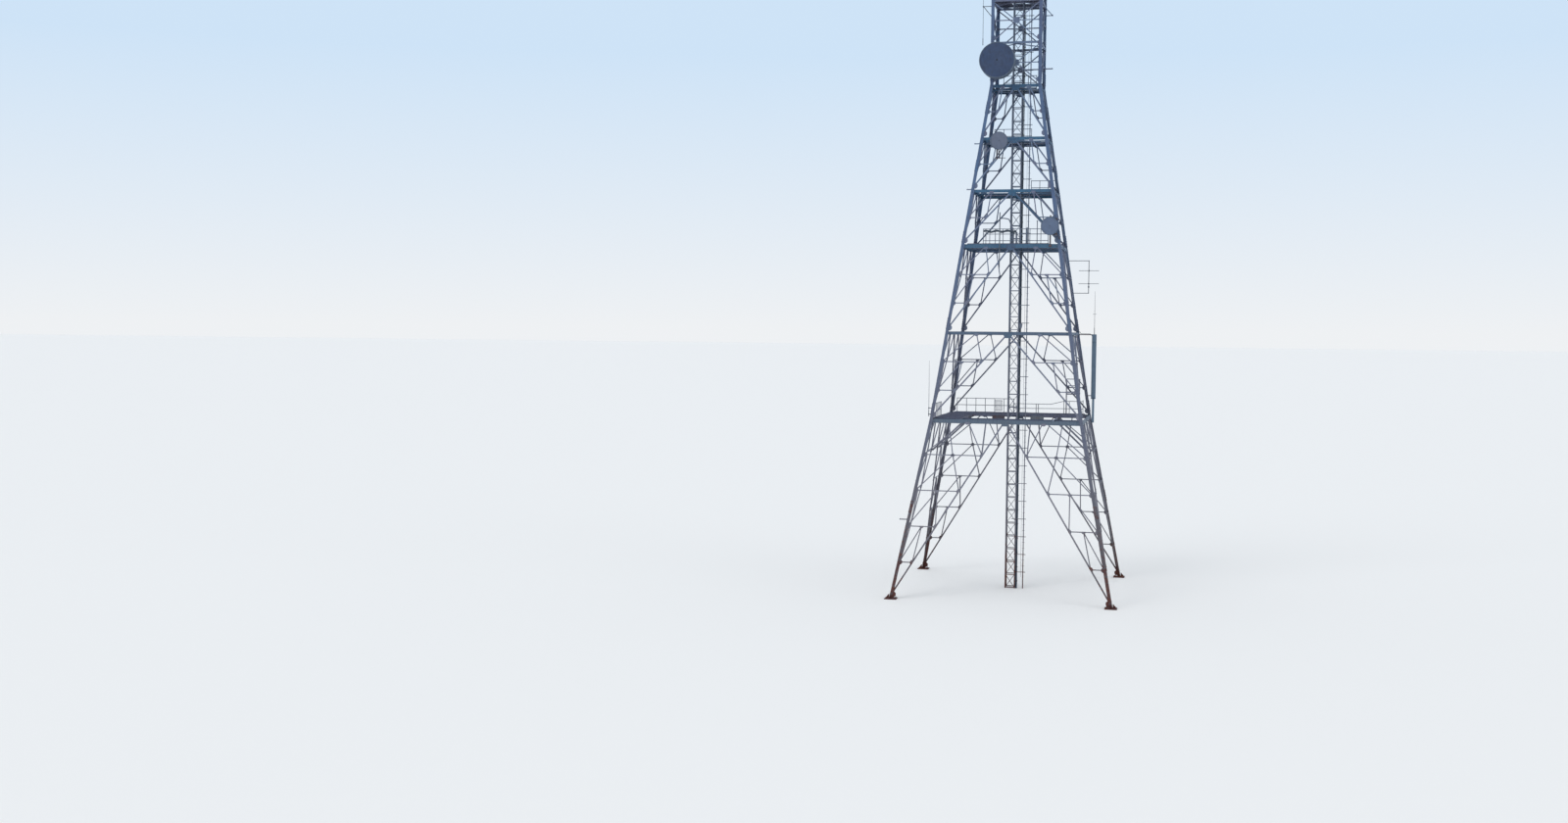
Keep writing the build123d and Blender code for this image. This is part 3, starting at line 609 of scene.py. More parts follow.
BLUE_GREY = (0.06, 0.145, 0.28)
TEAL_GREY = (0.032, 0.115, 0.205)
PLUM_GREY = (0.085, 0.11, 0.195)
BLOTCHY = (1.3, 1.3, 1.0)
leg_paint = weathered("leg_paint", BLUE_GREY, PLUM_GREY, rust=0.01, rust_from=5.0, rust_at=0.6,
                      low_paint=(0.135, 0.132, 0.158))
bracing_paint = weathered("bracing_paint", (0.11, 0.175, 0.28), (0.13, 0.14, 0.215), rust=-0.01,
                          rust_from=3.0, rust_at=0.2, low_paint=(0.19, 0.187, 0.22))
beam_paint = weathered("beam_paint", TEAL_GREY, (0.05, 0.09, 0.165), rust=0.015,
                       low_paint=(0.12, 0.137, 0.165))
column_paint = weathered("column_paint", (0.13, 0.185, 0.265), (0.145, 0.17, 0.235), rust=0.01,
                         low_paint=(0.2, 0.2, 0.24))
deck_paint = weathered("deck_paint", (0.09, 0.12, 0.19), (0.11, 0.108, 0.155), rust=0.02, dirt=0.45)
rail_paint = weathered("rail_paint", (0.1, 0.155, 0.23), (0.12, 0.135, 0.185), rust=0.01,
                       low_paint=(0.17, 0.17, 0.195))
rusted_steel = weathered("rusted_steel", (0.08, 0.08, 0.1), (0.07, 0.06, 0.075), rust=0.09)
galvanised = weathered("galvanised", (0.17, 0.19, 0.22), (0.12, 0.135, 0.155), rust=0.04, roughness=0.5,
                       metallic=0.3)
sheath = weathered("cable_sheath", (0.032, 0.05, 0.075), (0.045, 0.065, 0.09), rust=-0.6, roughness=0.5,
                   dirt=0.2, bump=0.1)
dish_paint = weathered("dish_paint", (0.07, 0.105, 0.165), (0.09, 0.12, 0.17), rust=-0.02, roughness=0.6,
                       run_stretch=BLOTCHY)
# Radome of the drum dish: its colours are much darker than those of the small radomes, which is painted
# shade on its face
drum_face_painted_shade = weathered("drum_face_painted_shade", (0.028, 0.052, 0.115), (0.06, 0.083, 0.145), rust=-0.03, roughness=0.7,
                      dirt=0.75, bump=0.12, run_stretch=BLOTCHY)
radome = weathered("radome", (0.1, 0.145, 0.235), (0.12, 0.14, 0.195), rust=-0.08, roughness=0.7,
                   dirt=0.25, bump=0.12, run_stretch=BLOTCHY)
boss_dark = weathered("boss_dark", (0.015, 0.022, 0.04), (0.025, 0.03, 0.045), rust=-0.3, roughness=0.8,
                      bump=0.1)
casing = weathered("antenna_casing", (0.135, 0.205, 0.28), (0.11, 0.165, 0.23), rust=-0.1, roughness=0.6,
                   bump=0.1)
rod_metal = weathered("antenna_rod", (0.09, 0.11, 0.14), (0.12, 0.135, 0.16), rust=-0.06, roughness=0.5,
                      metallic=0.3)


# Legs with their splice plates
def leg_length(shape, side, low, high):
    """Four angle legs between two heights."""
    outline = angle_outline(LEG_FLANGE, LEG_FLANGE, LEG_THICKNESS, centred=False)
    steps = max(2, round((high - low) / 1.5))
    for sx, sy in CORNERS:
        rings = []
        for i in range(steps + 1):
            z = low + (high - low) * i / steps
            half = side.half(z)
            ring = [Vector((sx * (half - LEG_FLANGE + a), sy * (half - b), z)) for a, b in outline]
            rings.append(ring[::-1] if sx * sy > 0 else ring)
        shape.skin(rings)


def splice(shape, side, z):
    """Cover plates on both leg flanges of a side where two lengths of leg meet."""
    length, thickness = 0.42, 0.008
    for sign in (-1, 1):
        above, below = (side.at(sign * side.half(height), height) for height in (z + 0.1, z - 0.1))
        up = (above - below).normalized()
        across = up.cross(side.normal)
        middle = side.at(sign * (side.half(z) - LEG_FLANGE / 2), z)
        outline = oblong(0.044, length / 2)
        plate(shape, middle, across, side.normal.cross(across), outline, thickness)
        for row, column in product(range(-2, 3), (-0.024, 0.024)):
            place = middle + up * row * length * 0.2 + across * column
            bolt(shape, place + side.normal * thickness, side.normal, LEG_THICKNESS + thickness)


LEG_LENGTHS = {"lower": (BASE_PLATE, PLATFORM_1), "middle": (PLATFORM_1, WAIST), "upper": (WAIST, TOP)}
SPLICES = {"lower": (3.05,), "middle": (6.32, 9.22, 12.16, 14.6, 16.6), "upper": (17.72, 20.7)}
for section, ends in LEG_LENGTHS.items():
    shape = Shape()
    leg_length(shape, SECTIONS[section]["south"], *ends)
    piece(f"legs_{section}_steel", shape, leg_paint, "leg_steel", f"legs_{section}")
shape = Shape()
for section, heights in SPLICES.items():
    for side, z in product(SECTIONS[section].values(), heights):
        splice(shape, side, z)
piece("leg_splices", shape, leg_paint, "leg_steel")

# Bracing of the flared sides below platform 1
PANEL_TOP = PLATFORM_1 - (PLATFORM_1 - BASE_PLATE) / LOWER_PANELS
for name, side in SECTIONS["lower"].items():
    shape = Shape()
    post_foot = (BASE_HALF / LOWER_PANELS + side.reach(PANEL_TOP)) / 2
    post = ((post_foot, PANEL_TOP), (PLATFORM_1_HALF * 3 / 4, PLATFORM_1))
    high = PLATFORM_1 - DEEP_BEAM
    for sign in (-1, 1):
        k_panel(shape, side, sign, BASE_PLATE, high, LOWER_PANELS, PLATFORM_1, BASE_HALF, post)
    piece(f"bracing_lower_{name}_angles", shape, bracing_paint, "bracing_steel", f"bracing_lower_{name}")

# Bracing of the leaning sides, five tiers between beams
BEAMS = {
    "platform_1": (PLATFORM_1 - DEEP_BEAM / 2, DEEP_BEAM),
    "level_2": (LEVEL_2, MIDDLE_BEAM),
    "platform_2": (PLATFORM_2, DEEP_BEAM),
    "level_4": (LEVEL_4, HIGH_BEAM),
    "level_5": (LEVEL_5, HIGH_BEAM),
    "waist": (WAIST - DEEP_BEAM / 2, HIGH_BEAM),
}
TIER_PANELS = (3, 3, 2, 2, 2)
for name, side in SECTIONS["middle"].items():
    shape = Shape()
    beams = list(BEAMS.values())
    for (foot, foot_depth), (head, head_depth), steps in zip(beams, beams[1:], TIER_PANELS):
        low = foot + foot_depth / 2
        high = head - head_depth / 2
        for sign in (-1, 1):
            k_panel(shape, side, sign, low, high, steps, head, side.half(foot))
    piece(f"bracing_middle_{name}_angles", shape, bracing_paint, "bracing_steel", f"bracing_middle_{name}")


# Crossed bracing of the upright sides
CENTRE_GUSSET = [(-0.105, -0.07), (-0.07, -0.105), (0.07, -0.105), (0.105, -0.07),
                 (0.105, 0.07), (0.07, 0.105), (-0.07, 0.105), (-0.105, 0.07)]


def crossed_bay(shape, side, bay):
    """One bay: two diagonals, level bars, the centre gusset and the beam at its head."""
    low = WAIST + bay * UPPER_BAY
    high = low + UPPER_BAY
    centre = (0, (low + high) / 2)
    reach = side.reach(WAIST)
    beam_line = high - UPPER_BEAM / 2
    for sign in (-1, 1):
        foot = (sign * WAIST_HALF, low if bay == 0 else low - UPPER_BEAM / 2)
        head = (-sign * WAIST_HALF, beam_line)
        starts = [clip(side, end, centre, low + 0.01, high - UPPER_BEAM, 0.0)[0] for end in (foot, head)]
        if sign > 0:
            bar(shape, side, *starts)
        else:
            for start in starts:
                bar(shape, side, start, centre, trims=(0.0, 0.05))
        bar(shape, side, (sign * 0.045, centre[1]), (sign * reach, centre[1]))
        leg_joint(shape, side, sign, centre[1], 0.75)
        leg_joint(shape, side, sign, low + 0.14)
    gusset(shape, side, *centre, CENTRE_GUSSET)
    first, last = (side.at(x, beam_line, SET_IN) for x in (-reach, reach))
    prism(shape, first, last, channel_outline(UPPER_BEAM, BAR_DEPTH, 0.006), Z, -side.normal)
    for sign in (-1, 1):
        leg_joint(shape, side, sign, beam_line, 0.8)


for name, side in SECTIONS["upper"].items():
    shape = Shape()
    for bay in range(UPPER_BAYS):
        crossed_bay(shape, side, bay)
    piece(f"bracing_upper_{name}_angles", shape, bracing_paint, "bracing_steel", f"bracing_upper_{name}")

# Ring beams
for node, section, names in (
    ("ring_beams_platform_1", "lower", ("platform_1",)),
    ("ring_beams_middle", "middle", ("level_2", "platform_2", "level_4", "level_5")),
    ("ring_beams_waist", "middle", ("waist",)),
):
    shape = Shape()
    for side, name in product(SECTIONS[section].values(), names):
        beam(shape, side, *BEAMS[name])
    piece(node + "_channels", shape, beam_paint, "beam_steel", node)

# Plan bracing inside the beams of the upper part
PLAN_DROP = 0.03
PLAN_ANGLE = angle_outline(0.0375, 0.035, 0.005)
PLAN_GUSSET = [(-0.03, -0.1), (0.02, -0.1), (0.09, -0.04), (0.09, 0.04), (0.02, 0.1), (-0.03, 0.1)]
bay_heads = [WAIST + (i + 1) * UPPER_BAY - UPPER_BEAM / 2 for i in range(UPPER_BAYS)]
shape = Shape()
for z in (LEVEL_5, WAIST - DEEP_BEAM / 2, *bay_heads):
    end = half_width(z) - SET_IN - BAR_DEPTH
    corners = [Vector((end * a, end * b, z - PLAN_DROP)) for a, b in ((0, -1), (1, 0), (0, 1), (-1, 0))]
    for a, b in zip(corners, corners[1:] + corners[:1]):
        run = (b - a).normalized()
        prism(shape, a - run * 0.015, b + run * 0.015, PLAN_ANGLE, run.cross(Z), -Z)
        for bar_end, inward in ((a, run), (b, -run)):
            nut(shape, bar_end + inward * 0.07 + Z * 0.004, Z, 0.008)
        inside = -Vector((a.x, a.y, 0)).normalized()
        plate(shape, a, inside, Z.cross(inside), PLAN_GUSSET, 0.004)
piece("plan_bracing", shape, bracing_paint, "bracing_steel")

# Central column
COLUMN_HALF = 0.18
CHORD = 0.0375
COLUMN_PITCH = 0.45
CHORD_ANGLE = angle_outline(CHORD, CHORD, 0.004, centred=False)
DIAGONAL_ANGLE = angle_outline(0.018, 0.016, 0.003)
LEVEL_ANGLE = angle_outline(0.026, 0.018, 0.003)
shape = Shape()
for sx, sy in SIGNS:
    chord = Vector((sx * (COLUMN_HALF - CHORD), sy * COLUMN_HALF, 0))
    prism(shape, chord, chord + Z * COLUMN_TOP, CHORD_ANGLE, X * sx, Y * -sy)
for k, bearing in enumerate(SIDES.values()):
    across, outward = directions(bearing)
    inner = across * (COLUMN_HALF - 0.02)
    for i in range(int(COLUMN_TOP / COLUMN_PITCH)):
        foot = outward * (COLUMN_HALF - 0.004) + Z * (0.03 + i * COLUMN_PITCH)
        sign = 1 if (i + k) % 2 else -1
        start = foot - inner * sign
        end = foot + inner * sign + Z * COLUMN_PITCH
        run = (end - start).normalized()
        prism(shape, start, end, DIAGONAL_ANGLE, run.cross(outward), -outward)
        prism(shape, foot - inner, foot + inner, LEVEL_ANGLE, Z, -outward)
        for share in (-1, 1):
            place = foot + outward * 0.004 + across * share * (COLUMN_HALF - 0.018)
            nut(shape, place, outward, 0.006)
piece("column_lattice", shape, column_paint, "column_steel", "column")

# Cable run: cables in two rows on a ladder, clamped at every rung
FEEDER_WIDTH = 0.075
FEEDER_DEPTH = 0.15
FEEDERS_A_ROW = 6
FEEDER_SPACING = 0.0242
FIRST_ROW = 0.022
ROW_SPACING = 0.031
FEEDER_SWAY = 0.0025
RUNG_PITCH = 0.5
RUNG_HALF = 0.012
RUNG_BARS = (0.001, 0.034, 0.066)
RUNG_BAR = 0.007
RUN_FRONT = -COLUMN_HALF
FEEDER_RADII = (0.0115, 0.0095, 0.012, 0.008, 0.0115, 0.009)
FEEDER_TOPS = (1.0, 0.985, 0.93, 0.9, 0.885, 1.0, 0.77, 0.75, 0.62, 0.97, 0.6, 0.99)
cables = Shape()
hangers = Shape()
for i, share in enumerate(FEEDER_TOPS):
    row, place = divmod(i, FEEDERS_A_ROW)
    radius = FEEDER_RADII[(place + 2 * row) % FEEDERS_A_ROW]
    x = COLUMN_HALF + FIRST_ROW + row * ROW_SPACING
    y = RUN_FRONT + 0.014 + place * FEEDER_SPACING
    top = PLATFORM_3 * share
    path = []
    for step in range(2 * int(top / RUNG_PITCH) + 1):
        sway = FEEDER_SWAY * math.sin(step * 1.9 + i * 2.3) if step % 2 else 0.0
        path.append(Vector((x + sway, y + 0.6 * sway, min(top, step * RUNG_PITCH / 2 + 0.002))))
    path.append(Vector((x, y, top)))
    pipe(cables, path, radius, 8, tone=i / len(FEEDER_TOPS))
for i in range(int(PLATFORM_3 / RUNG_PITCH)):
    z = (i + 0.5) * RUNG_PITCH
    low_y, high_y = RUN_FRONT + 0.001, RUN_FRONT + FEEDER_DEPTH - 0.001
    for share in RUNG_BARS:
        x = COLUMN_HALF + share
        box(hangers, (x, low_y, z - RUNG_HALF), (x + RUNG_BAR, high_y, z + RUNG_HALF))
    for y in (low_y + 0.003, high_y - 0.003):
        nut(hangers, (x + RUNG_BAR, y, z), X, 0.005)
piece("feeder_cables", cables, sheath, "cable_sheath", "feeder_run")
piece("feeder_hangers", hangers, galvanised, "column_steel")

# Step pole with its steps, the brackets that hold it to the column, and the fall-arrest rope
POLE_RADIUS = 0.0175
POLE_GAP = 0.17
POLE_X = COLUMN_HALF + FEEDER_WIDTH + POLE_GAP + POLE_RADIUS
POLE_Y = RUN_FRONT + FEEDER_DEPTH / 2
STEP_REACH = 0.045
STEP_RADIUS = 0.0045
ROPE_RADIUS = 0.0045
FIRST_BRACKET = 0.58
BRACKET_PITCH = 0.62
BRACKET_OVERHANG = 0.09
BRACKET_ANGLE = angle_outline(0.022, 0.016, 0.003)
bracket_y = -COLUMN_HALF - 0.004
rope_x = POLE_X - 0.073
rope_y = POLE_Y - 0.045
shape = Shape()
brackets = Shape()
stand(shape, POLE_X, POLE_Y, 0, PLATFORM_3, POLE_RADIUS)
for i in range(int(PLATFORM_3 / BRACKET_PITCH)):
    z = FIRST_BRACKET + i * BRACKET_PITCH
    start_x = 0.02 if i % 11 == 3 else COLUMN_HALF - 0.05
    end_x = POLE_X + BRACKET_OVERHANG
    prism(brackets, (start_x, bracket_y, z), (end_x, bracket_y, z), BRACKET_ANGLE, Z, -Y)
    for x in (COLUMN_HALF - 0.02, POLE_X):
        nut(brackets, (x, bracket_y - 0.003, z), -Y, 0.006)
    for x, half, back in ((POLE_X, 0.022, POLE_Y), (rope_x, 0.008, POLE_Y - 0.035)):
        rise = 0.009 if x == POLE_X else half
        box(brackets, (x - half, bracket_y, z - rise), (x + half, back, z + rise))
    for share, sign in product((1 / 3, 2 / 3), (-1, 1)):
        inner = Vector((POLE_X, POLE_Y, z + BRACKET_PITCH * share))
        tube(shape, inner, inner + X * sign * STEP_REACH, STEP_RADIUS, 8)
piece("step_pole_tube", shape, column_paint, "column_steel", "step_pole")
piece("step_pole_brackets", brackets, column_paint, "column_steel")
shape = Shape()
stand(shape, rope_x, rope_y, 0.4, PLATFORM_3, ROPE_RADIUS, 8)
piece("fall_arrest_rope", shape, galvanised, "column_steel")

# Ties of the column
TIE_DEPTH = 0.05
TIE_WIDTH = 0.04
TIE_BOLT_INSET = 0.018
GIRDER_DEPTH = 0.09
BEAM_TOP_2 = PLATFORM_2 + DEEP_BEAM / 2
TIE_CHANNEL = channel_outline(0.7 * TIE_DEPTH, TIE_WIDTH, 0.004)
CLEAT = ((0, -0.05), (0, 0.05), (-0.05, 0.05), (-0.12, 0.02), (-0.12, -0.02), (-0.05, -0.05))
tie_line = COLUMN_HALF + TIE_WIDTH
platform_ties = [top - GIRDER_DEPTH for top in (PLATFORM_1, BEAM_TOP_2, WAIST)]
level_ties = [level + TIE_DEPTH / 2 for level in (LEVEL_2, LEVEL_4, LEVEL_5)]
shape = Shape()
for tie_top in sorted(platform_ties + level_ties):
    end = inner_face(tie_top)
    middle = tie_top - TIE_DEPTH / 2
    for sy in (-1, 1):
        prism(shape, (-end, sy * tie_line, middle), (end, sy * tie_line, middle), TIE_CHANNEL, Z, Y * -sy)
        for sx in (-1, 1):
            for rise in (-0.012, 0.012):
                tie_bolt = (sx * (COLUMN_HALF - TIE_BOLT_INSET), sy * tie_line, middle + rise)
                nut(shape, tie_bolt, Y * sy, 0.007)
            cleat_foot = (sx * end, sy * (tie_line + 0.003), middle)
            plate(shape, cleat_foot, X, Z, [(sx * a, b) for a, b in CLEAT], 0.005)
    start_x = COLUMN_HALF + FEEDER_WIDTH - 0.07
    tube(shape, (start_x, POLE_Y, tie_top - 0.012), (POLE_X, POLE_Y, tie_top - 0.012), 0.01, 8)
    stand(shape, POLE_X, POLE_Y, tie_top - 0.035, tie_top + 0.012, 0.024)
piece("column_tie_channels", shape, beam_paint, "column_steel", "column_ties")

# Girders, joists and decks
GIRDER_WIDTH = 0.06
DECK = 0.03
DECK_GAP = 0.01
NOTCH = LEG_FLANGE + DECK_GAP
RAIL_HEIGHT = 0.5
RAIL_RADIUS = 0.0115
RAIL_SET_IN = 0.0125
HATCH_MARGIN = 0.09
HATCH_HALF = COLUMN_HALF + HATCH_MARGIN
STEP_ROOM = 0.075
HATCH_RIGHT = POLE_X + STEP_ROOM + HATCH_MARGIN
GIRDER_SET_IN = 1.0
GIRDER_LINE_3 = 0.36
GIRDER_DEPTH_3 = 0.06
GRATING_PANEL = 0.9
GRATING_PITCH = 0.045
ROD_PITCH = 0.12
POST_SPACING = 0.33
WALK_WIDTH = 0.3
DECK_TOP_1 = PLATFORM_1 + DECK
DECK_TOP_2 = BEAM_TOP_2 + DECK
DECK_TOP_3 = PLATFORM_3 + DECK


def deck_half(z):
    return inner_face(z) - CLEARANCE - DECK_GAP


def rail_line(z):
    """How far out the handrail on a deck stands, upright inside the leaning side."""
    return deck_half(z) - RAIL_HEIGHT * math.tan(side_at(z).slope) - DECK_GAP - RAIL_SET_IN


def i_beam(shape, start, end, top, depth):
    """I beam along x or y between two places, its top at a height."""
    run = Vector((*end, 0)) - Vector((*start, 0))
    across = Y if run.x else X
    foot = Vector((*start, top - depth)) - across * GIRDER_WIDTH / 2
    prism(shape, foot, foot + run, joist_outline(GIRDER_WIDTH, depth), across, Z)


def grating(shape, x_low, x_high, y_low, y_high, bottom):
    """Bar grating in panels: edge bars, close bearing bars across the shorter way and cross rods."""
    along_x = x_high - x_low > y_high - y_low
    (a_low, a_high), (b_low, b_high) = ((x_low, x_high), (y_low, y_high))[::1 if along_x else -1]
    top = bottom + DECK
    bar_width, edge_width, rod_half = 0.004, 0.005, 0.0025
    panels = max(1, round((a_high - a_low) / GRATING_PANEL))
    width = (a_high - a_low) / panels

    def strip(a0, b0, z0, a1, b1, z1):
        box(shape, (a0, b0, z0) if along_x else (b0, a0, z0), (a1, b1, z1) if along_x else (b1, a1, z1))

    for i in range(panels):
        left, right = a_low + i * width + 0.002, a_low + (i + 1) * width - 0.002
        for b in (b_low, b_high - edge_width):
            strip(left, b, bottom, right, b + edge_width, top)
        count = max(2, round((right - left) / GRATING_PITCH))
        for k in range(count + 1):
            a = left + (right - left - bar_width) * k / count
            strip(a, b_low + edge_width, bottom + 0.002, a + bar_width, b_high - edge_width, top - 0.001)
        rods = max(1, round((b_high - b_low) / ROD_PITCH))
        for k in range(1, rods):
            b = b_low + (b_high - b_low) * k / rods
            strip(left, b - rod_half, top - 0.006, right, b + rod_half, top - 0.0005)


line_1 = PLATFORM_1_HALF - GIRDER_SET_IN
line_2 = half_width(PLATFORM_2) - GIRDER_SET_IN
end_1 = inner_face(PLATFORM_1 - BAR_DEPTH * math.sin(side_at(PLATFORM_1).slope))
end_2 = inner_face(BEAM_TOP_2 - BAR_DEPTH * math.sin(side_at(BEAM_TOP_2).slope))
end_3 = inner_face(PLATFORM_3)
deck_1 = deck_half(DECK_TOP_1)
deck_2 = deck_half(DECK_TOP_2)
deck_3 = deck_half(PLATFORM_3)
deck_3_end = deck_3 - NOTCH
deck_2_right = 1.25
plates_1 = [
    (-deck_1 + NOTCH, deck_1 - NOTCH, HATCH_HALF, deck_1),
    (-deck_1, -HATCH_HALF, 0, HATCH_HALF),
    (HATCH_RIGHT, deck_1, 0, HATCH_HALF),
    (-deck_1, -line_1 + GIRDER_WIDTH / 2, -deck_1 + NOTCH, 0),
]
plates_2 = [
    (-deck_2 + NOTCH, deck_2_right, -deck_2, -HATCH_HALF),
    (-deck_2, -HATCH_HALF, -HATCH_HALF, HATCH_HALF),
    (HATCH_RIGHT, deck_2_right, -HATCH_HALF, HATCH_HALF),
]
plates_3 = [
    (-deck_3, -HATCH_HALF, -deck_3_end, deck_3_end),
    (-HATCH_HALF, HATCH_RIGHT, -deck_3, -HATCH_HALF),
    (-HATCH_HALF, HATCH_RIGHT, HATCH_HALF, deck_3),
    (HATCH_RIGHT, deck_3, -deck_3_end, deck_3_end),
]
for number, top, end, line, girder_depth, plates in (
    (1, PLATFORM_1, end_1, line_1, GIRDER_DEPTH, plates_1),
    (2, BEAM_TOP_2, end_2, line_2, GIRDER_DEPTH, plates_2),
    (3, PLATFORM_3, end_3, GIRDER_LINE_3, GIRDER_DEPTH_3, plates_3),
):
    platform = f"platform_{number}"
    shape = Shape()
    for y in (-line, line):
        i_beam(shape, (-end, y), (end, y), top, girder_depth)
    piece(platform + "_girder_beams", shape, deck_paint, "deck_steel", platform + "_girders")
    if number < 3:
        shape = Shape()
        half = GIRDER_WIDTH / 2
        lengths = ((-end, -line - half), (half - line, line - half), (line + half, end))
        for x, (y_low, y_high) in product((-line, line), lengths):
            i_beam(shape, (x, y_low), (x, y_high), top, girder_depth)
        piece(platform + "_joist_beams", shape, deck_paint, "deck_steel", platform + "_joists")
    shape = Shape()
    for panel in plates:
        grating(shape, *panel, top)
    piece(platform + "_grating", shape, deck_paint, "deck_steel", platform + "_deck")

# Knees under platform 1
KNEE_ANGLE = angle_outline(0.06, 0.04, 0.005)
shape = Shape()
for side, sign in product(SECTIONS["lower"].values(), (-1, 1)):
    across = side.across * sign * BASE_HALF / LOWER_PANELS
    start = across + side.outward * (inner_face(PANEL_TOP) - CLEARANCE) + Z * PANEL_TOP
    end = across + side.outward * line_1 + Z * (PLATFORM_1 - GIRDER_DEPTH)
    run = (end - start).normalized()
    up = side.across.cross(run)
    prism(shape, start, end, KNEE_ANGLE, up if up.z > 0 else -up, side.across * sign)
    for bar_end, inward in ((start, run), (end, -run)):
        for distance in (0.05, 0.1):
            nut(shape, bar_end + inward * distance, -side.across * sign, 0.009)
piece("platform_1_knee_angles", shape, bracing_paint, "deck_steel", "platform_1_knees")

# Handrails
FOOT_PLATE = oblong(0.028, 0.022)
TOE_BOARD = rectangle(0, 0, 0.004, 0.075)


def rail_on(shape, bearing, deck_top, left, right, posts=None, rises=(0.5, 1.0), board=True):
    """Tube handrail on one side of a deck: posts on foot plates, rails at shares of its height, and a
    toe board."""
    across, outward = directions(bearing)
    line = outward * rail_line(deck_top) + Z * deck_top
    first = line + across * (left + RAIL_RADIUS)
    last = line + across * (right - RAIL_RADIUS)
    if posts is None:
        count = max(1, round((right - left) / POST_SPACING))
        posts = [i / count for i in range(count + 1)]
    rises = [rise * (RAIL_HEIGHT - RAIL_RADIUS) for rise in rises]
    for share in posts:
        foot = first.lerp(last, share)
        tube(shape, foot, foot + Z * rises[-1], RAIL_RADIUS, 10)
        plate(shape, foot, across, Z.cross(across), FOOT_PLATE, 0.006)
        for rise in rises:
            ball(shape, foot + Z * rise, RAIL_RADIUS * 1.35)
    for rise in rises:
        tube(shape, first + Z * rise, last + Z * rise, RAIL_RADIUS, 10)
    if board:
        prism(shape, first + Z * 0.004, last + Z * 0.004, TOE_BOARD, Z.cross(across), Z)


FAR_RAIL_Y = rail_line(DECK_TOP_1)
RAIL_END_1 = FAR_RAIL_Y + RAIL_SET_IN - LEG_FLANGE
LOW_RAIL = ((-0.2, 0.32), (1.13, 0.32), (1.6, 0.44), (RAIL_END_1, 0.44))
FOOT_RAIL = ((-0.2, 0.15), (1.6, 0.17), (RAIL_END_1, 0.17))
LOW_POSTS = ((-0.2, 0.32), (0.604, 0.32), (0.681, 0.32), (1.596, 0.47), (1.79, 0.44), (RAIL_END_1, 0.488))
LOW_RAIL_RADIUS = 0.0105
RAIL_POSTS_2 = (0.0, 0.04, 0.1, 0.186, 0.306, 0.428, 0.58, 0.72, 0.888, 1.0)
shape = Shape()
rail_on(shape, 180, DECK_TOP_1, 0.2, RAIL_END_1, board=False)
rail_on(shape, 270, DECK_TOP_1, 1.0, 2.25, board=False)
for line in (LOW_RAIL, FOOT_RAIL):
    places = [(x, FAR_RAIL_Y, DECK_TOP_1 + rise) for x, rise in line]
    pipe(shape, bent(places, 0.05), LOW_RAIL_RADIUS, 10)
for x, rise in LOW_POSTS:
    stand(shape, x, FAR_RAIL_Y, DECK_TOP_1, DECK_TOP_1 + rise, RAIL_RADIUS, 10)
    plate(shape, (x, FAR_RAIL_Y, DECK_TOP_1), X, Y, FOOT_PLATE, 0.006)
piece("platform_1_rail_tubes", shape, rail_paint, "rail_steel", "platform_1_handrails")
shape = Shape()
rail_on(shape, 0, DECK_TOP_2, -0.96, 1.245, RAIL_POSTS_2, (0.19, 0.645, 1.0), board=False)
piece("platform_2_rail_tubes", shape, rail_paint, "rail_steel", "platform_2_handrail")

# Stand pipes on platform 2, each with its place, the height of its top and its radius
PIPE_FLANGE = 0.025
PIPE_COLLAR = 0.006
STAND_PIPES = ((0.053, 12.33, 0.034), (0.168, 12.32, 0.03), (0.511, 12.46, 0.032), (0.861, 12.7, 0.014))
NECK = ((0.053, 12.33), (0.04, 12.42), (-0.083, 12.76), (-0.24, 12.79), (-0.36, 12.79))
RAIL_Y_2 = -rail_line(DECK_TOP_2)
shape = Shape()
for x, top, radius in STAND_PIPES:
    y = RAIL_Y_2 + 0.012 + radius
    stand(shape, x, y, DECK_TOP_2, top, radius, 16)
    stand(shape, x, y, DECK_TOP_2, DECK_TOP_2 + 0.01, radius + PIPE_FLANGE, 16)
    stand(shape, x, y, top - 0.03, top + 0.012, radius + PIPE_COLLAR, 16)
neck = [(x, RAIL_Y_2 + 0.046 - 0.03 * i, z) for i, (x, z) in enumerate(NECK)]
pipe(shape, bent(neck, 0.05), 0.019, 12)
piece("platform_2_stand_pipes", shape, rail_paint, "rail_steel")

# Bundle of cables laid along the handrail of platform 2, with its ties and the props under it
BUNDLE_LEFT = -0.93
BUNDLE_LENGTH = 1.1
BUNDLE_Z = 12.355
BUNDLE_STATIONS = 22
BUNDLE_CABLES = 7
BUNDLE_CABLE_RADIUS = 0.0125
BUNDLE_SPREAD = 0.025
TIED_STATIONS = (1, 5, 8, 12, 16, 20)
PROPS = (-0.85, -0.4, 0.11)


def bundle_place(k):
    """Middle of the cable bundle at a station along it."""
    sag = 0.02 * math.sin(k * 0.86 + 0.4)
    x = BUNDLE_LEFT + BUNDLE_LENGTH * k / BUNDLE_STATIONS
    return Vector((x, RAIL_Y_2 - 0.012, BUNDLE_Z + sag))


cables = Shape()
ties = Shape()
for i in range(BUNDLE_CABLES):
    spread = 0.0 if i == BUNDLE_CABLES - 1 else BUNDLE_SPREAD
    path = []
    for k in range(BUNDLE_STATIONS + 1):
        twist = 2 * math.pi * i / (BUNDLE_CABLES - 1) + 0.12 * k
        lift = 0.005 * math.sin(k * 1.7 + i)
        out_y, out_z = spread * math.cos(twist), spread * math.sin(twist)
        path.append(bundle_place(k) + Vector((0, out_y, lift + out_z)))
    pipe(cables, path, BUNDLE_CABLE_RADIUS, 8, tone=i / BUNDLE_CABLES)
for k in TIED_STATIONS:
    tube(ties, bundle_place(k) - X * 0.007, bundle_place(k) + X * 0.007, 0.0385, 16)
for x in PROPS:
    stand(ties, x, RAIL_Y_2 - 0.01, BUNDLE_Z - 0.1, BUNDLE_Z - 0.02, 0.006, 8)
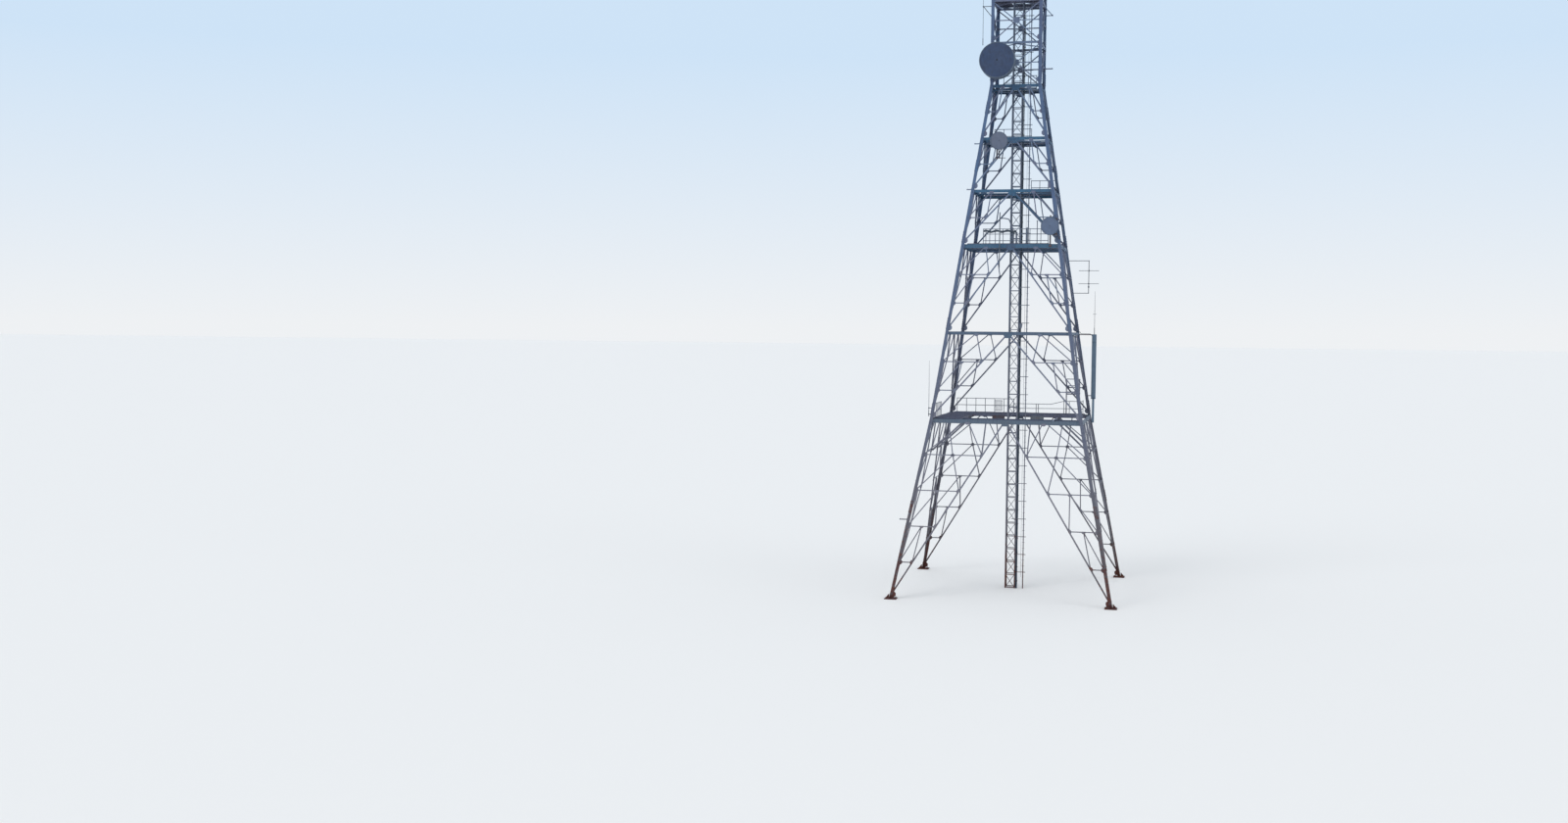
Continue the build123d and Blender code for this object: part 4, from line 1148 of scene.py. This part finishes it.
piece("platform_2_rail_cables", cables, sheath, "cable_sheath")
piece("platform_2_cable_ties", ties, galvanised, "rail_steel")
shape = Shape()
for bearing in (0, 180):
    rail_on(shape, bearing, DECK_TOP_3, -deck_3_end, deck_3_end)
piece("platform_3_rail_tubes", shape, rail_paint, "rail_steel", "platform_3_handrails")

# Short walks at the levels above platform 2, with their handrails
walks = Shape()
walk_rails = Shape()
for walk_top, left, right in (
    (LEVEL_4 + DEEP_BEAM / 2, -1.3, -0.39),
    (LEVEL_5 + DEEP_BEAM / 2, -0.415, 0.9),
    (WAIST, -0.58, 0.58),
):
    far = inner_face(walk_top)
    grating(walks, NOTCH - far, far - NOTCH, far - WALK_WIDTH, far, walk_top - DECK)
    rail_on(walk_rails, 180, walk_top, left, right)
piece("level_walkway_gratings", walks, deck_paint, "deck_steel", "level_walkways")
piece("level_rail_tubes", walk_rails, rail_paint, "rail_steel", "level_handrails")


# Dishes and what holds them
def spokes(axis, count, turn=0.0):
    """Directions out from an axis, each with the direction round it."""
    u, v = square_axes(axis)
    for i in range(count):
        a = 2 * math.pi * (i + turn) / count
        spoke = u * math.cos(a) + v * math.sin(a)
        yield spoke, axis.cross(spoke)


def dish_at(shell, front, origin, facing, radius, shroud, back):
    """Dish that faces away from its pipe: reflector and shroud, and the radome on its front."""
    hub, hub_depth = 0.08, 0.05
    rim = hub_depth + back
    lip = rim + shroud
    inner = radius * 0.985
    face_radius = radius * 0.955
    profile = [(hub * 0.55, 0.004), (hub, 0.004), (hub, hub_depth * 0.9)]
    for i in range(9):
        t = i / 8
        profile.append((hub + (inner - hub) * t, hub_depth + back * t ** 1.7))
    profile += [(radius, rim), (radius, rim + 0.02), (inner, rim + 0.024)]
    hoops = max(1, round(shroud / 0.15))
    for i in range(1, hoops):
        hoop = rim + shroud * i / hoops
        profile += [(inner, hoop - 0.014), (radius, hoop - 0.006)]
        profile += [(radius, hoop + 0.006), (inner, hoop + 0.014)]
    profile += [(inner, lip - 0.03), (radius, lip - 0.026), (radius, lip - 0.004)]
    profile += [(radius * 0.97, lip - 0.001), (face_radius, lip - 0.012)]
    lathe(shell, profile, origin, facing, 64, caps=(True, False))
    bulge = min(0.018, radius * 0.03) * 0.6
    profile = []
    for i in range(7):
        t = i / 7
        profile.append((face_radius * (1 - t), lip - 0.012 + bulge * (1 - (1 - t) ** 2)))
    profile.append((0.004, lip - 0.012 + bulge))
    lathe(front, profile, origin, facing, 64, caps=(False, True))
    for spoke, side in spokes(facing, 12, 0.5):
        clamp = origin + facing * (lip - 0.02) + spoke * (radius - 0.001)
        plate(shell, clamp, side, facing, oblong(0.012, 0.014), 0.004)
    rib = [(hub * 0.9, hub_depth * 0.4), (hub + 0.02, hub_depth * 0.4),
           (radius * 0.8, hub_depth + back * 0.62), (radius * 0.8, hub_depth + back * 0.75),
           (hub, hub_depth + 0.006)]
    for spoke, side in spokes(facing, 8):
        prism(shell, origin - side * 0.003, origin + side * 0.003, rib, spoke, facing)


DRUM_SIZE = (0.6, 0.4, 0.13)
SMALL_DISH_SIZE = (0.3, 0.09, 0.11)
MOUNT_ARM = 0.06
MOUNT_PIPE = 0.05
PIPE_HALF = MOUNT_PIPE / 2
CLAMP_WIRE = 0.005
DRUM_ARM_RISE = 0.45
DISH_2_ARM_RISE = 0.25
ARM_CHANNEL = channel_outline(MOUNT_ARM, 0.05, 0.005)
drum_z = 18.12
drum_x = -half_width(drum_z) + 0.285
drum_arms_y = -half_width(drum_z) - MOUNT_ARM / 2
drum_foot = Vector((drum_x, drum_arms_y - MOUNT_PIPE, drum_z))
dish_1_z = 15.405
low_arm_1 = dish_1_z - 0.56
high_arm_1 = dish_1_z + 0.115
dish_1_x = -half_width(LEVEL_4) * (LEVEL_5 - low_arm_1) / (LEVEL_5 - LEVEL_4 - DEEP_BEAM / 2)
pipe_back_1 = LEG_THICKNESS - half_width(low_arm_1) - MOUNT_ARM
pipe_1 = Vector((dish_1_x, pipe_back_1 - PIPE_HALF, dish_1_z))
turn_1 = math.radians(20)
facing_1 = Vector((math.sin(turn_1), -math.cos(turn_1), 0))
dish_1_foot = pipe_1 + facing_1 * PIPE_HALF * (math.cos(turn_1) + math.sin(turn_1))
dish_2_z = 12.5
dish_2_x = half_width(dish_2_z) - 0.27
arms_y_2 = -half_width(dish_2_z - DISH_2_ARM_RISE) - MOUNT_ARM / 2
dish_2_foot = Vector((dish_2_x, arms_y_2 - MOUNT_PIPE, dish_2_z))

shape = Shape()
for origin, facing, front_at, size in (
    (drum_foot, -Y, 0.579, 0.03),
    (dish_1_foot, facing_1, 0.243, 0.011),
    (dish_2_foot, -Y, 0.243, 0.009),
):
    profile = ((1, -0.012), (1, 0.002), (0.8, 0.006), (0.3, 0.007))
    lathe(shape, [(size * share, front_at + rise) for share, rise in profile], origin, facing, 20)
piece("dish_front_bosses", shape, boss_dark, "dish_paint")
shell, front = Shape(), Shape()
dish_at(shell, front, drum_foot, -Y, *DRUM_SIZE)
piece("drum_dish_shell", shell, dish_paint, "dish_paint", "drum_dish")
piece("drum_dish_radome", front, drum_face_painted_shade, "dish_paint")
shell, front = Shape(), Shape()
dish_at(shell, front, dish_1_foot, facing_1, *SMALL_DISH_SIZE)
dish_at(shell, front, dish_2_foot, -Y, *SMALL_DISH_SIZE)
piece("small_dish_shells", shell, dish_paint, "dish_paint", "small_dishes")
piece("small_dish_radomes", front, radome, "dish_paint")


def u_clamp(shape, x, y, z):
    """U bolt round the front of a pipe, its two ends with nuts behind it."""
    place = Vector((x, y, z))
    angles = [math.pi * i / 8 for i in range(9)]
    arc = [place + (X * math.cos(a) - Y * math.sin(a)) * (PIPE_HALF + CLAMP_WIRE) for a in angles]
    ends = [arc[0] + Y * 0.03, arc[-1] + Y * 0.03]
    pipe(shape, [ends[0]] + arc + [ends[1]], CLAMP_WIRE, 6)
    for end in ends:
        nut(shape, end - Y * 0.014, Y, 0.008, 0.004)


def mount_pipe(shape, x, y, low, high):
    """Pipe that a dish is clamped to, with a cap at each end."""
    stand(shape, x, y, low, high, PIPE_HALF, 20)
    for z in (low, high):
        stand(shape, x, y, z - 0.004, z + 0.004, PIPE_HALF + 0.003, 20)


def cross_arm(shape, x_low, x_high, z, y_front, y_back):
    """Channel across the front of a leg and the pipe, with two plates back to the leg."""
    prism(shape, (x_low, y_front, z), (x_high, y_front, z), ARM_CHANNEL, Z, Y)
    for x in (x_low + 0.03, x_low + 0.08):
        box(shape, (x - 0.004, y_front + 0.045, z - 0.04), (x + 0.004, y_back, z + 0.04))


shape = Shape()
drum_pipe_y = drum_foot.y + PIPE_HALF
for z in (drum_z - DRUM_ARM_RISE, drum_z + DRUM_ARM_RISE):
    cross_arm(shape, -half_width(drum_z), drum_x + MOUNT_PIPE, z, drum_arms_y, -half_width(z))
    u_clamp(shape, drum_x, drum_pipe_y, z)
mount_pipe(shape, drum_x, drum_pipe_y, drum_z - 0.57, drum_z + 0.57)
for z in (low_arm_1, high_arm_1):
    start_x = dish_1_x - PIPE_HALF
    prism(shape, (start_x, pipe_back_1, z), (start_x, LEG_THICKNESS - half_width(z), z), ARM_CHANNEL, Z, X)
    u_clamp(shape, dish_1_x, pipe_1.y, z)
mount_pipe(shape, dish_1_x, pipe_1.y, low_arm_1 - PIPE_HALF, dish_1_z + 0.3)
dish_2_pipe_y = dish_2_foot.y + PIPE_HALF
arm_end = half_width(dish_2_z + DISH_2_ARM_RISE)
for z in (dish_2_z - DISH_2_ARM_RISE, dish_2_z + DISH_2_ARM_RISE):
    cross_arm(shape, dish_2_x - PIPE_HALF, arm_end, z, arms_y_2, -half_width(z))
    u_clamp(shape, dish_2_x, dish_2_pipe_y, z)
mount_pipe(shape, dish_2_x, dish_2_pipe_y, PLATFORM_2, dish_2_z + 0.37)
pad_low = (dish_2_x - 0.04, dish_2_foot.y, PLATFORM_2 - 0.03)
box(shape, pad_low, (dish_2_x + 0.04, 0.018 - half_width(PLATFORM_2), PLATFORM_2 + 0.03))
STRUT_Z = 12.1
strut_half = half_width(STRUT_Z)
strut_foot = Vector((strut_half - 0.02, -strut_half - 0.015, STRUT_Z))
tube(shape, (dish_2_x + 0.2, dish_2_foot.y - 0.06, 12.28), strut_foot, 0.014, 10)
box(shape, strut_foot - Vector((0.03, 0.012, 0.03)), strut_foot + Vector((0.012, 0.02, 0.03)))
joint_x = -0.46
tube(shape, (dish_1_x, pipe_1.y, low_arm_1), (-0.255, pipe_1.y, low_arm_1), 0.011, 10)
tube(shape, (joint_x, pipe_1.y, low_arm_1), (-0.495, pipe_1.y - 0.03, 15.16), 0.018)
stand(shape, joint_x, pipe_1.y, low_arm_1 - 0.018, low_arm_1 + 0.018, 0.024)
piece("dish_mount_arms", shape, rusted_steel, "weathered_steel", "dish_mounts")

# Panel antenna: a long casing with a shorter one below, bands round them, and the arms that hold it
PANEL_WIDTH = 0.16
PANEL_DEPTH = 0.09
PANEL_LENGTH = 2.31
LOW_WIDTH = 0.08
LOW_DEPTH = 0.086
LOW_LENGTH = 0.845
panel_z = 8.875
panel_reach = 2.565
panel_x = panel_reach + PANEL_WIDTH / 2
panel_y = half_width(panel_z) - LEG_FLANGE / 2
panel_top = panel_z + 0.015
panel_bottom = panel_top - PANEL_LENGTH
shape = Shape()
for low, high, width, depth, radius in (
    (panel_bottom, panel_top, PANEL_WIDTH, PANEL_DEPTH, 0.02),
    (panel_bottom - LOW_LENGTH, panel_bottom - 0.001, LOW_WIDTH, LOW_DEPTH, 0.015),
):
    ends = [(low, 0.012), (low + 0.004, 0.004), (low + 0.014, 0),
            (high - 0.014, 0), (high - 0.004, 0.004), (high, 0.012)]
    rounded_case(shape, Vector((panel_x, panel_y, 0)), width, depth, radius, ends, smooth=True)
for z in (panel_bottom + 0.02, (panel_top + panel_bottom) / 2, panel_top - 0.3, panel_bottom - 0.3):
    width = PANEL_WIDTH if z > panel_bottom else LOW_WIDTH
    band = rounded(width + 0.006, PANEL_DEPTH, 0.02)
    prism(shape, (panel_x, panel_y, z), (panel_x, panel_y, z + 0.012), band, X, Y, smooth=True)
piece("panel_antenna_casing", shape, casing, "antenna_casing", "panel_antenna")
low_z = panel_bottom + 0.12
shape = Shape()
for start_x, y, z in (
    (half_width(panel_z), panel_y - 0.018, panel_z),
    (half_width(panel_z), panel_y + 0.018, panel_z),
    (half_width(low_z) - 0.005, panel_y, low_z),
):
    tube(shape, (start_x, y, z), (panel_reach + 0.01, y, z), 0.015, 10)
piece("panel_antenna_arms", shape, rusted_steel, "weathered_steel")

# Dipole frame
ROD_RADIUS = 0.0125
DIPOLE_HALF = 0.345
DIPOLE_BARS = (11.14, 10.68)
mast_x, mast_y, mast_top, mast_foot = 2.43, 1.75, 11.49, 10.345
shape = Shape()
stand(shape, mast_x, mast_y, mast_foot - ROD_RADIUS, mast_top + ROD_RADIUS, ROD_RADIUS)
for z in (mast_top, mast_foot):
    tube(shape, (half_width(z) - 0.02, mast_y, z), (mast_x, mast_y, z), 0.011)
    ball(shape, (mast_x, mast_y, z), 0.018)
for z in DIPOLE_BARS:
    tube(shape, (mast_x - DIPOLE_HALF, mast_y, z), (mast_x + DIPOLE_HALF, mast_y, z), 0.008, 10)
    box(shape, (mast_x - 0.022, mast_y - 0.02, z - 0.022), (mast_x + 0.022, mast_y + 0.02, z + 0.022))
    for share in (-DIPOLE_HALF, DIPOLE_HALF):
        ball(shape, (mast_x + share, mast_y, z), 0.01)
box(shape, (mast_x - 0.024, mast_y - 0.024, 10.54), (mast_x + 0.024, mast_y + 0.024, 10.6))
piece("dipole_frame_tubes", shape, rod_metal, "antenna_rod", "dipole_frame")


# Whip antennas
def whip(shape, x, y, foot, length):
    """Tapered whip in a ferrule."""
    taper = [(1, 0), (1, 0.22), (0.8, 0.23), (0.62, 0.26), (0.5, length * 0.6),
             (0.28, length - 0.01), (0.2, length)]
    lathe(shape, [(ROD_RADIUS * share, rise) for share, rise in taper], (x, y, foot), Z, 12)


left_x, left_z = -2.59, 6.075
left_y = LEG_FLANGE / 2 - half_width(left_z)
top_x, top_z = -1.145, 20.045
top_y = LEG_FLANGE / 2 - half_width(top_z)
pole_x, pole_foot, pole_length = -0.36, 11.11, 1.865
pole_y = -half_width(pole_foot) - 0.03
cross_z = panel_top + 0.715
shape = Shape()
whip(shape, panel_x, panel_y, panel_top, 1.535)
tube(shape, (panel_x - 0.06, panel_y, cross_z), (panel_x + 0.06, panel_y, cross_z), 0.007, 8)
whip(shape, left_x, left_y, left_z, 1.89)
for z in (left_z + 0.075, left_z + 0.285):
    tube(shape, (0.01 - half_width(z), left_y, z), (left_x + 0.015, left_y, z), ROD_RADIUS, 10)
    stand(shape, left_x, left_y, z - 0.02, z + 0.02, 0.02)
whip(shape, top_x, top_y, 18.735, 2.765)
tube(shape, (-WAIST_HALF, top_y, top_z), (top_x, top_y, top_z), ROD_RADIUS, 10)
tube(shape, (-WAIST_HALF, top_y, top_z - 0.34), (top_x + 0.015, top_y, top_z - 0.01), ROD_RADIUS, 10)
stand(shape, top_x, top_y, top_z - 0.025, top_z + 0.025, 0.02)
stand(shape, pole_x, pole_y - POLE_RADIUS, pole_foot, pole_foot + pole_length, POLE_RADIUS, 14)
for z in (PLATFORM_2 - 0.02, PLATFORM_2 + 0.02):
    tube(shape, (pole_x, pole_y - 0.01, z), (pole_x, 0.02 - half_width(z), z), 0.01, 10)
piece("whip_antenna_rods", shape, rod_metal, "antenna_rod", "whip_antennas")

# Lightning rod
SPIKE = ((0.05, 0.02), (0.045, 0.03), (0.0125, 0.034), (0.0125, 0.5),
         (0.008, 0.51), (0.006, 0.85), (0.001, 0.92))
shape = Shape()
plate(shape, Z * COLUMN_TOP, X, Y, oblong(COLUMN_HALF, COLUMN_HALF), 0.02)
lathe(shape, SPIKE, Z * COLUMN_TOP, Z, 16)
piece("lightning_rod_spike", shape, rod_metal, "antenna_rod", "lightning_rod")


# Branch cables, strapped to ties, beams and legs, from the run on the column to the antennas
CLIP_SPACING = 0.35
CASE_Z = 13.6


def strapped(cables, clips, corners, radius, bend=0.045):
    """Cable through corners, with clips along it."""
    path = bent(corners, bend)
    pipe(cables, path, radius, 8)
    since = 0.2
    for a, b in zip(path, path[1:]):
        length = (b - a).length
        since += length
        if since > CLIP_SPACING and length > 0.05:
            middle = a.lerp(b, 0.5)
            half_clip = (b - a).normalized() * 0.006
            tube(clips, middle - half_clip, middle + half_clip, radius + 0.003, 10)
            since = 0.0


def beside_beam(side, x, z):
    """Place just inside a ring beam."""
    return SECTIONS["middle"][side].at(x, z, SET_IN + BAR_DEPTH + 0.011)


def out_along(side, level, drop, near, far):
    """Start of a branch: up the cable run, out at a level, and along the beam of one side."""
    leave = Vector((COLUMN_HALF + 0.03, -COLUMN_HALF - 0.008, level))
    return [leave - Z * drop, leave, beside_beam(side, near, level), beside_beam(side, far, level)]


def in_leg(z):
    """Place in the corner of the south-west leg."""
    half = half_width(z) - 0.032
    return Vector((-half, -half, z))


cables, clips = Shape(), Shape()
level = WAIST - GIRDER_DEPTH + 0.012
strapped(cables, clips, out_along("west", level, 0.5, 0.2, 0.75) + [
    in_leg(level + 0.12), in_leg(17.95), (-0.72, -0.832, 17.98), (-0.72, drum_foot.y - 0.02, 17.99),
    drum_foot - Vector((0.12, 0.025, 0.03)), drum_foot - Vector((0.07, 0.025, 0)),
], 0.011)
level = LEVEL_5 + TIE_DEPTH / 2 + 0.011
side_1 = Vector((math.cos(turn_1), math.sin(turn_1), 0))
dish_1_back = dish_1_foot + facing_1 * 0.025 - side_1 * 0.07
strapped(cables, clips, out_along("west", level, 0.5, 0.2, 1.0) + [
    in_leg(15.42), (-1.0, -1.13, 15.3), (-1.0, -1.24, 15.3), dish_1_back - side_1 * 0.14, dish_1_back,
], 0.0085)
level = LEVEL_4 + TIE_DEPTH / 2 + 0.011
strapped(cables, clips, out_along("east", level, 0.4, -0.2, -1.25) + [
    beside_beam("south", 1.25, level), beside_beam("south", 0.1, level - 0.02),
    beside_beam("south", 0.06, CASE_Z),
], 0.0085)
piece("branch_cables", cables, sheath, "cable_sheath")
south = SECTIONS["middle"]["south"]
conduit_low = south.at(0.95, 12.76)
conduit = [
    south.at(0.1, CASE_Z), conduit_low, conduit_low + Vector((0.06, -0.03, -0.06)),
    (dish_2_x - 0.07, dish_2_foot.y - 0.025, 12.56),
]
case_at = south.at(0.05, CASE_Z)
shape = Shape()
pipe(shape, bent(conduit, 0.04), 0.017, 12)
box(shape, case_at - Vector((0.06, 0.03, 0.05)), case_at + Vector((0.06, 0.02, 0.05)))
piece("dish_conduit", shape, beam_paint, "beam_steel")
level = LEVEL_2 + TIE_DEPTH / 2 + 0.011
cable_y = panel_y - 0.018
over_arm = 8.905
cables = Shape()
strapped(cables, clips, out_along("east", level, 0.4, -0.2, 1.8) + [
    beside_beam("east", 1.88, 8.99), (half_width(8.99) + 0.03, 1.88, 8.99),
    (half_width(8.9) + 0.05, cable_y, over_arm), (panel_reach - 0.06, cable_y, over_arm),
    (panel_reach + 0.02, cable_y, 8.82),
], 0.009, 0.035)
piece("panel_antenna_cable", cables, sheath, "cable_sheath")
piece("branch_cable_clips", clips, galvanised, "cable_sheath")

# Stub arms on the legs, each with its side, height and tip, and the bracket at the top
STUBS = ((1, 18.125, 1.118), (-1, 15.357, 1.349), (-1, 13.787, 1.56), (-1, 2.625, 3.44))
STUB_ANGLE = angle_outline(0.034, 0.03, 0.004)
STUB_PLATE = oblong(0.035, 0.035)
TOP_BRACKET_ANGLE = angle_outline(0.026, 0.022, 0.004)
BRACKET_END = Vector((1.075, WAIST_HALF - LEG_FLANGE / 2, 19.965))
shape = Shape()
for sign, z, tip in STUBS:
    half = half_width(z)
    y = sign * (half - LEG_FLANGE / 2)
    prism(shape, (sign * (half - 0.004), y, z), (sign * tip, y, z), STUB_ANGLE, Z, Y * -sign)
    plate(shape, (half if sign > 0 else -half - 0.005, y, z), Y, Z, STUB_PLATE, 0.005)
    nut(shape, (sign * (tip - 0.03), y, z + 0.017), Z, 0.01, 0.01)
for z in (20.2, BRACKET_END.z):
    start = Vector((0.862, BRACKET_END.y, z))
    run = (start - BRACKET_END).normalized()
    prism(shape, start, BRACKET_END, TOP_BRACKET_ANGLE, run.cross(Y), Y)
cup = BRACKET_END + Y * 0.01
tube(shape, cup - Z * 0.025, cup + Z * 0.035, 0.016, 10)
piece("leg_stub_arms", shape, bracing_paint, "leg_steel")

# Lamp on the column: half widths of its hood, each at a drop from its top
LAMP_HOOD = ((0.05, 0.03, 0.0), (0.062, 0.04, 0.008), (0.062, 0.04, 0.03), (0.045, 0.032, 0.12),
             (0.03, 0.024, 0.17), (0.02, 0.016, 0.176))
lamp_x, lamp_y, lamp_z = COLUMN_HALF + 0.06, -COLUMN_HALF - 0.05, 9.24
shape = Shape()
rings = []
for half_x, half_y, drop in LAMP_HOOD:
    rings.append([Vector((lamp_x + a, lamp_y + b, lamp_z - drop)) for a, b in oblong(half_x, half_y)])
shape.skin(rings)
box(shape, (lamp_x - 0.012, lamp_y + 0.02, lamp_z - 0.02), (lamp_x + 0.012, -COLUMN_HALF, lamp_z + 0.02))
piece("column_lamp_hood", shape, rail_paint, "column_steel")

# Plates on the open edge of platform 1's deck
EDGE_BOLTS = (-0.8, -0.3, 0.3, 0.8)
for name, material, slot, x_low, x_high, drop in (
    ("platform_1_rusted_edge_plate", rusted_steel, "weathered_steel", -0.72, -0.28, 0.2),
    ("platform_1_pale_edge_plate", galvanised, "deck_steel", HATCH_RIGHT, 1.07, 0.17),
):
    shape = Shape()
    middle, half = (x_low + x_high) / 2, (x_high - x_low) / 2
    plate(shape, (middle, 0, PLATFORM_1), X, Z, rectangle(-half, -drop, half, DECK), 0.006)
    for share in EDGE_BOLTS:
        nut(shape, (middle + half * share, -0.006, PLATFORM_1 + 0.01), -Y, 0.007)
    piece(name, shape, material, slot)

# Gate in the far handrail of platform 1
GATE_LEFT, GATE_WIDTH, GATE_LOW, GATE_HIGH = -0.88, 0.26, 0.06, 0.42
GATE_BARS = 7
GATE_HINGES = (0.22, 0.42)
gate_y = FAR_RAIL_Y - 0.03
shape = Shape()
for i in range(GATE_BARS):
    x = GATE_LEFT + GATE_WIDTH * i / (GATE_BARS - 1)
    stand(shape, x, gate_y, DECK_TOP_1 + GATE_LOW, DECK_TOP_1 + GATE_HIGH, 0.008, 8)
for rise in (GATE_LOW, (GATE_LOW + GATE_HIGH) / 2, GATE_HIGH):
    z = DECK_TOP_1 + rise
    tube(shape, (GATE_LEFT - 0.008, gate_y, z), (GATE_LEFT + GATE_WIDTH + 0.008, gate_y, z), 0.01, 8)
for rise in GATE_HINGES:
    z = DECK_TOP_1 + rise
    tube(shape, (GATE_LEFT, gate_y, z), (GATE_LEFT, gate_y + 0.032, z), 0.012, 8)
piece("platform_1_gate", shape, rail_paint, "rail_steel")

# Equipment cases on platform 3, on two feet each
CASE_FOOT = 0.02
CASES = ((-0.52, 0.0, 0.4, 0.5, 0.16), (0.48, 0.425, 0.24, 0.25, 0.34))
shape = Shape()
for x, y, width, depth, high in CASES:
    levels = [(CASE_FOOT, 0.01), (CASE_FOOT + 0.006, 0),
              (high - 0.014, 0), (high - 0.004, 0.004), (high, 0.014)]
    rounded_case(shape, Vector((x, y, DECK_TOP_3)), width, depth, 0.02, levels)
    half = depth / 2 - 0.02
    for foot_x in (x - width * 0.4, x + width * 0.4):
        top = DECK_TOP_3 + CASE_FOOT + 0.002
        box(shape, (foot_x - 0.02, y - half, DECK_TOP_3), (foot_x + 0.02, y + half, top))
piece("platform_3_equipment_cases", shape, galvanised, "deck_steel")

# Rest balcony
BALCONY_DECK = 6.76
BALCONY_TOP = 7.285
BALCONY_HALF_X = 0.23
BALCONY_HALF_Y = 0.19
BALCONY_RAILS = (0.06, 0.28, 0.52)
balcony_x, balcony_y = 1.93, FAR_RAIL_Y + RAIL_SET_IN - 0.33
shape = Shape()
corners = []
for sx, sy in CORNERS:
    corners.append(Vector((balcony_x + sx * BALCONY_HALF_X, balcony_y + sy * BALCONY_HALF_Y, 0)))
for corner in corners:
    tube(shape, corner + Z * DECK_TOP_1, corner + Z * BALCONY_TOP, 0.01, 8)
    plate(shape, corner + Z * DECK_TOP_1, X, Y, oblong(0.025, 0.025), 0.006)
for rise in BALCONY_RAILS:
    level = Z * (BALCONY_DECK + rise)
    for a, b in zip(corners, corners[1:] + corners[:1]):
        tube(shape, a + level, b + level, 0.009, 8)
reach_x, reach_y = BALCONY_HALF_X + 0.01, BALCONY_HALF_Y + 0.01
edges = (balcony_x - reach_x, balcony_x + reach_x, balcony_y - reach_y, balcony_y + reach_y)
grating(shape, *edges, BALCONY_DECK - DECK)
piece("rest_balcony_frame", shape, deck_paint, "deck_steel", "rest_balcony")

# Feet: anchor bolts, and ribs between leg and base plate
FOOT_RIB = [(0, 0), (0.1, 0), (0.1, 0.02), (0.02, 0.13), (0, 0.13)]
ANCHOR_HALF = 0.14
ANCHOR_BOLT = 0.022
RIB_HALF = 0.004
foot = BASE_HALF - 0.06
heel = BASE_HALF - 0.002
shape = Shape()
for sx, sy in SIGNS:
    for ax, ay in SIGNS:
        anchor = (sx * foot + ax * ANCHOR_HALF, sy * foot + ay * ANCHOR_HALF, BASE_PLATE)
        nut(shape, anchor, Z, ANCHOR_BOLT, 0.03)
    corner = Vector((sx * heel, sy * heel, BASE_PLATE))
    for along, inward in ((X * -sx, Y * -sy), (Y * -sy, X * -sx)):
        for distance in (0.03, 0.08):
            start = corner + along * distance - inward * 0.005
            prism(shape, start - along * RIB_HALF, start + along * RIB_HALF, FOOT_RIB, -inward, Z)
piece("foot_ribs_and_anchors", shape, rusted_steel, "weathered_steel")
base_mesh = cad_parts["base_plates"].data
base_mesh.materials.clear()
base_mesh.materials.append(rusted_steel)

# Floor, light and camera
FLOOR_HALF = 900.0
floor_mesh = bpy.data.meshes.new("floor")
floor_mesh.from_pydata([(a, b, 0) for a, b in oblong(FLOOR_HALF, FLOOR_HALF)], [], [(0, 1, 2, 3)])
floor = bpy.data.objects.new("floor", floor_mesh)
floor.location.z = -0.001
bpy.context.scene.collection.objects.link(floor)
floor_material = bpy.data.materials.new("floor")
floor_material.use_nodes = True
floor_shader = floor_material.node_tree.nodes["Principled BSDF"]
floor_shader.inputs["Base Color"].default_value = (0.87, 0.86, 0.85, 1)
floor_shader.inputs["Roughness"].default_value = 0.9
floor_mesh.materials.append(floor_material)

PALE_HORIZON = (0.86, 0.88, 0.9, 1)
PALE_SKY = (0.62, 0.77, 0.93, 1)
world = bpy.data.worlds.new("studio")
bpy.context.scene.world = world
world.use_nodes = True
world.node_tree.nodes.clear()
add = adder(world.node_tree)
rise = add("ShaderNodeSeparateXYZ", {0: add("ShaderNodeTexCoord").outputs["Generated"]}).outputs[2]
higher = add("ShaderNodeMapRange", {"Value": rise, "From Max": 0.16}).outputs[0]
seen = add("ShaderNodeBackground", {"Color": mixer(add, higher, PALE_HORIZON, PALE_SKY)}).outputs[0]
lit = add("ShaderNodeBackground", {"Color": (0.9, 0.95, 1, 1), "Strength": 0.86}).outputs[0]
rays = add("ShaderNodeLightPath").outputs
either = {0: rays["Is Camera Ray"], 1: rays["Is Glossy Ray"]}
share = add("ShaderNodeMath", either, operation="MAXIMUM").outputs[0]
mixed = add("ShaderNodeMixShader", {0: share, 1: lit, 2: seen}).outputs[0]
add("ShaderNodeOutputWorld", {0: mixed})

for name, energy, spread, shines in (
    ("key", 0.7, 30, (0.45, 0.62, -0.65)),
    ("fill", 0.35, 45, (-0.8, 0.3, -0.35)),
):
    light = bpy.data.lights.new(name, "SUN")
    light.energy = energy
    light.angle = math.radians(spread)
    lamp = bpy.data.objects.new(name, light)
    lamp.rotation_mode = "QUATERNION"
    lamp.rotation_quaternion = Vector(shines).to_track_quat("-Z", "Y")
    bpy.context.scene.collection.objects.link(lamp)

# Camera fitted to the photograph: pitch down, swing and roll about its view axis
CAMERA_PLACE = Vector((5.672, -58.207, 9.025))
PITCH_DOWN = 0.0503653
SWING = -0.2341582
ROLL = 0.00905764
FOCAL_PIXELS = 1696.0
IMAGE_WIDTH = 1600.0
lens = bpy.data.cameras.new("camera")
lens.sensor_width = 36.0
lens.lens = lens.sensor_width * FOCAL_PIXELS / IMAGE_WIDTH
lens.clip_start = 0.1
lens.clip_end = 2000.0
camera = bpy.data.objects.new("camera", lens)
camera.matrix_world = Matrix.Translation(CAMERA_PLACE)
for angle, axis in ((-SWING, "Z"), (math.pi / 2 - PITCH_DOWN, "X"), (ROLL, "Z")):
    camera.matrix_world @= Matrix.Rotation(angle, 4, axis)
bpy.context.scene.collection.objects.link(camera)
bpy.context.scene.camera = camera
bpy.context.scene.view_settings.view_transform = "Standard"
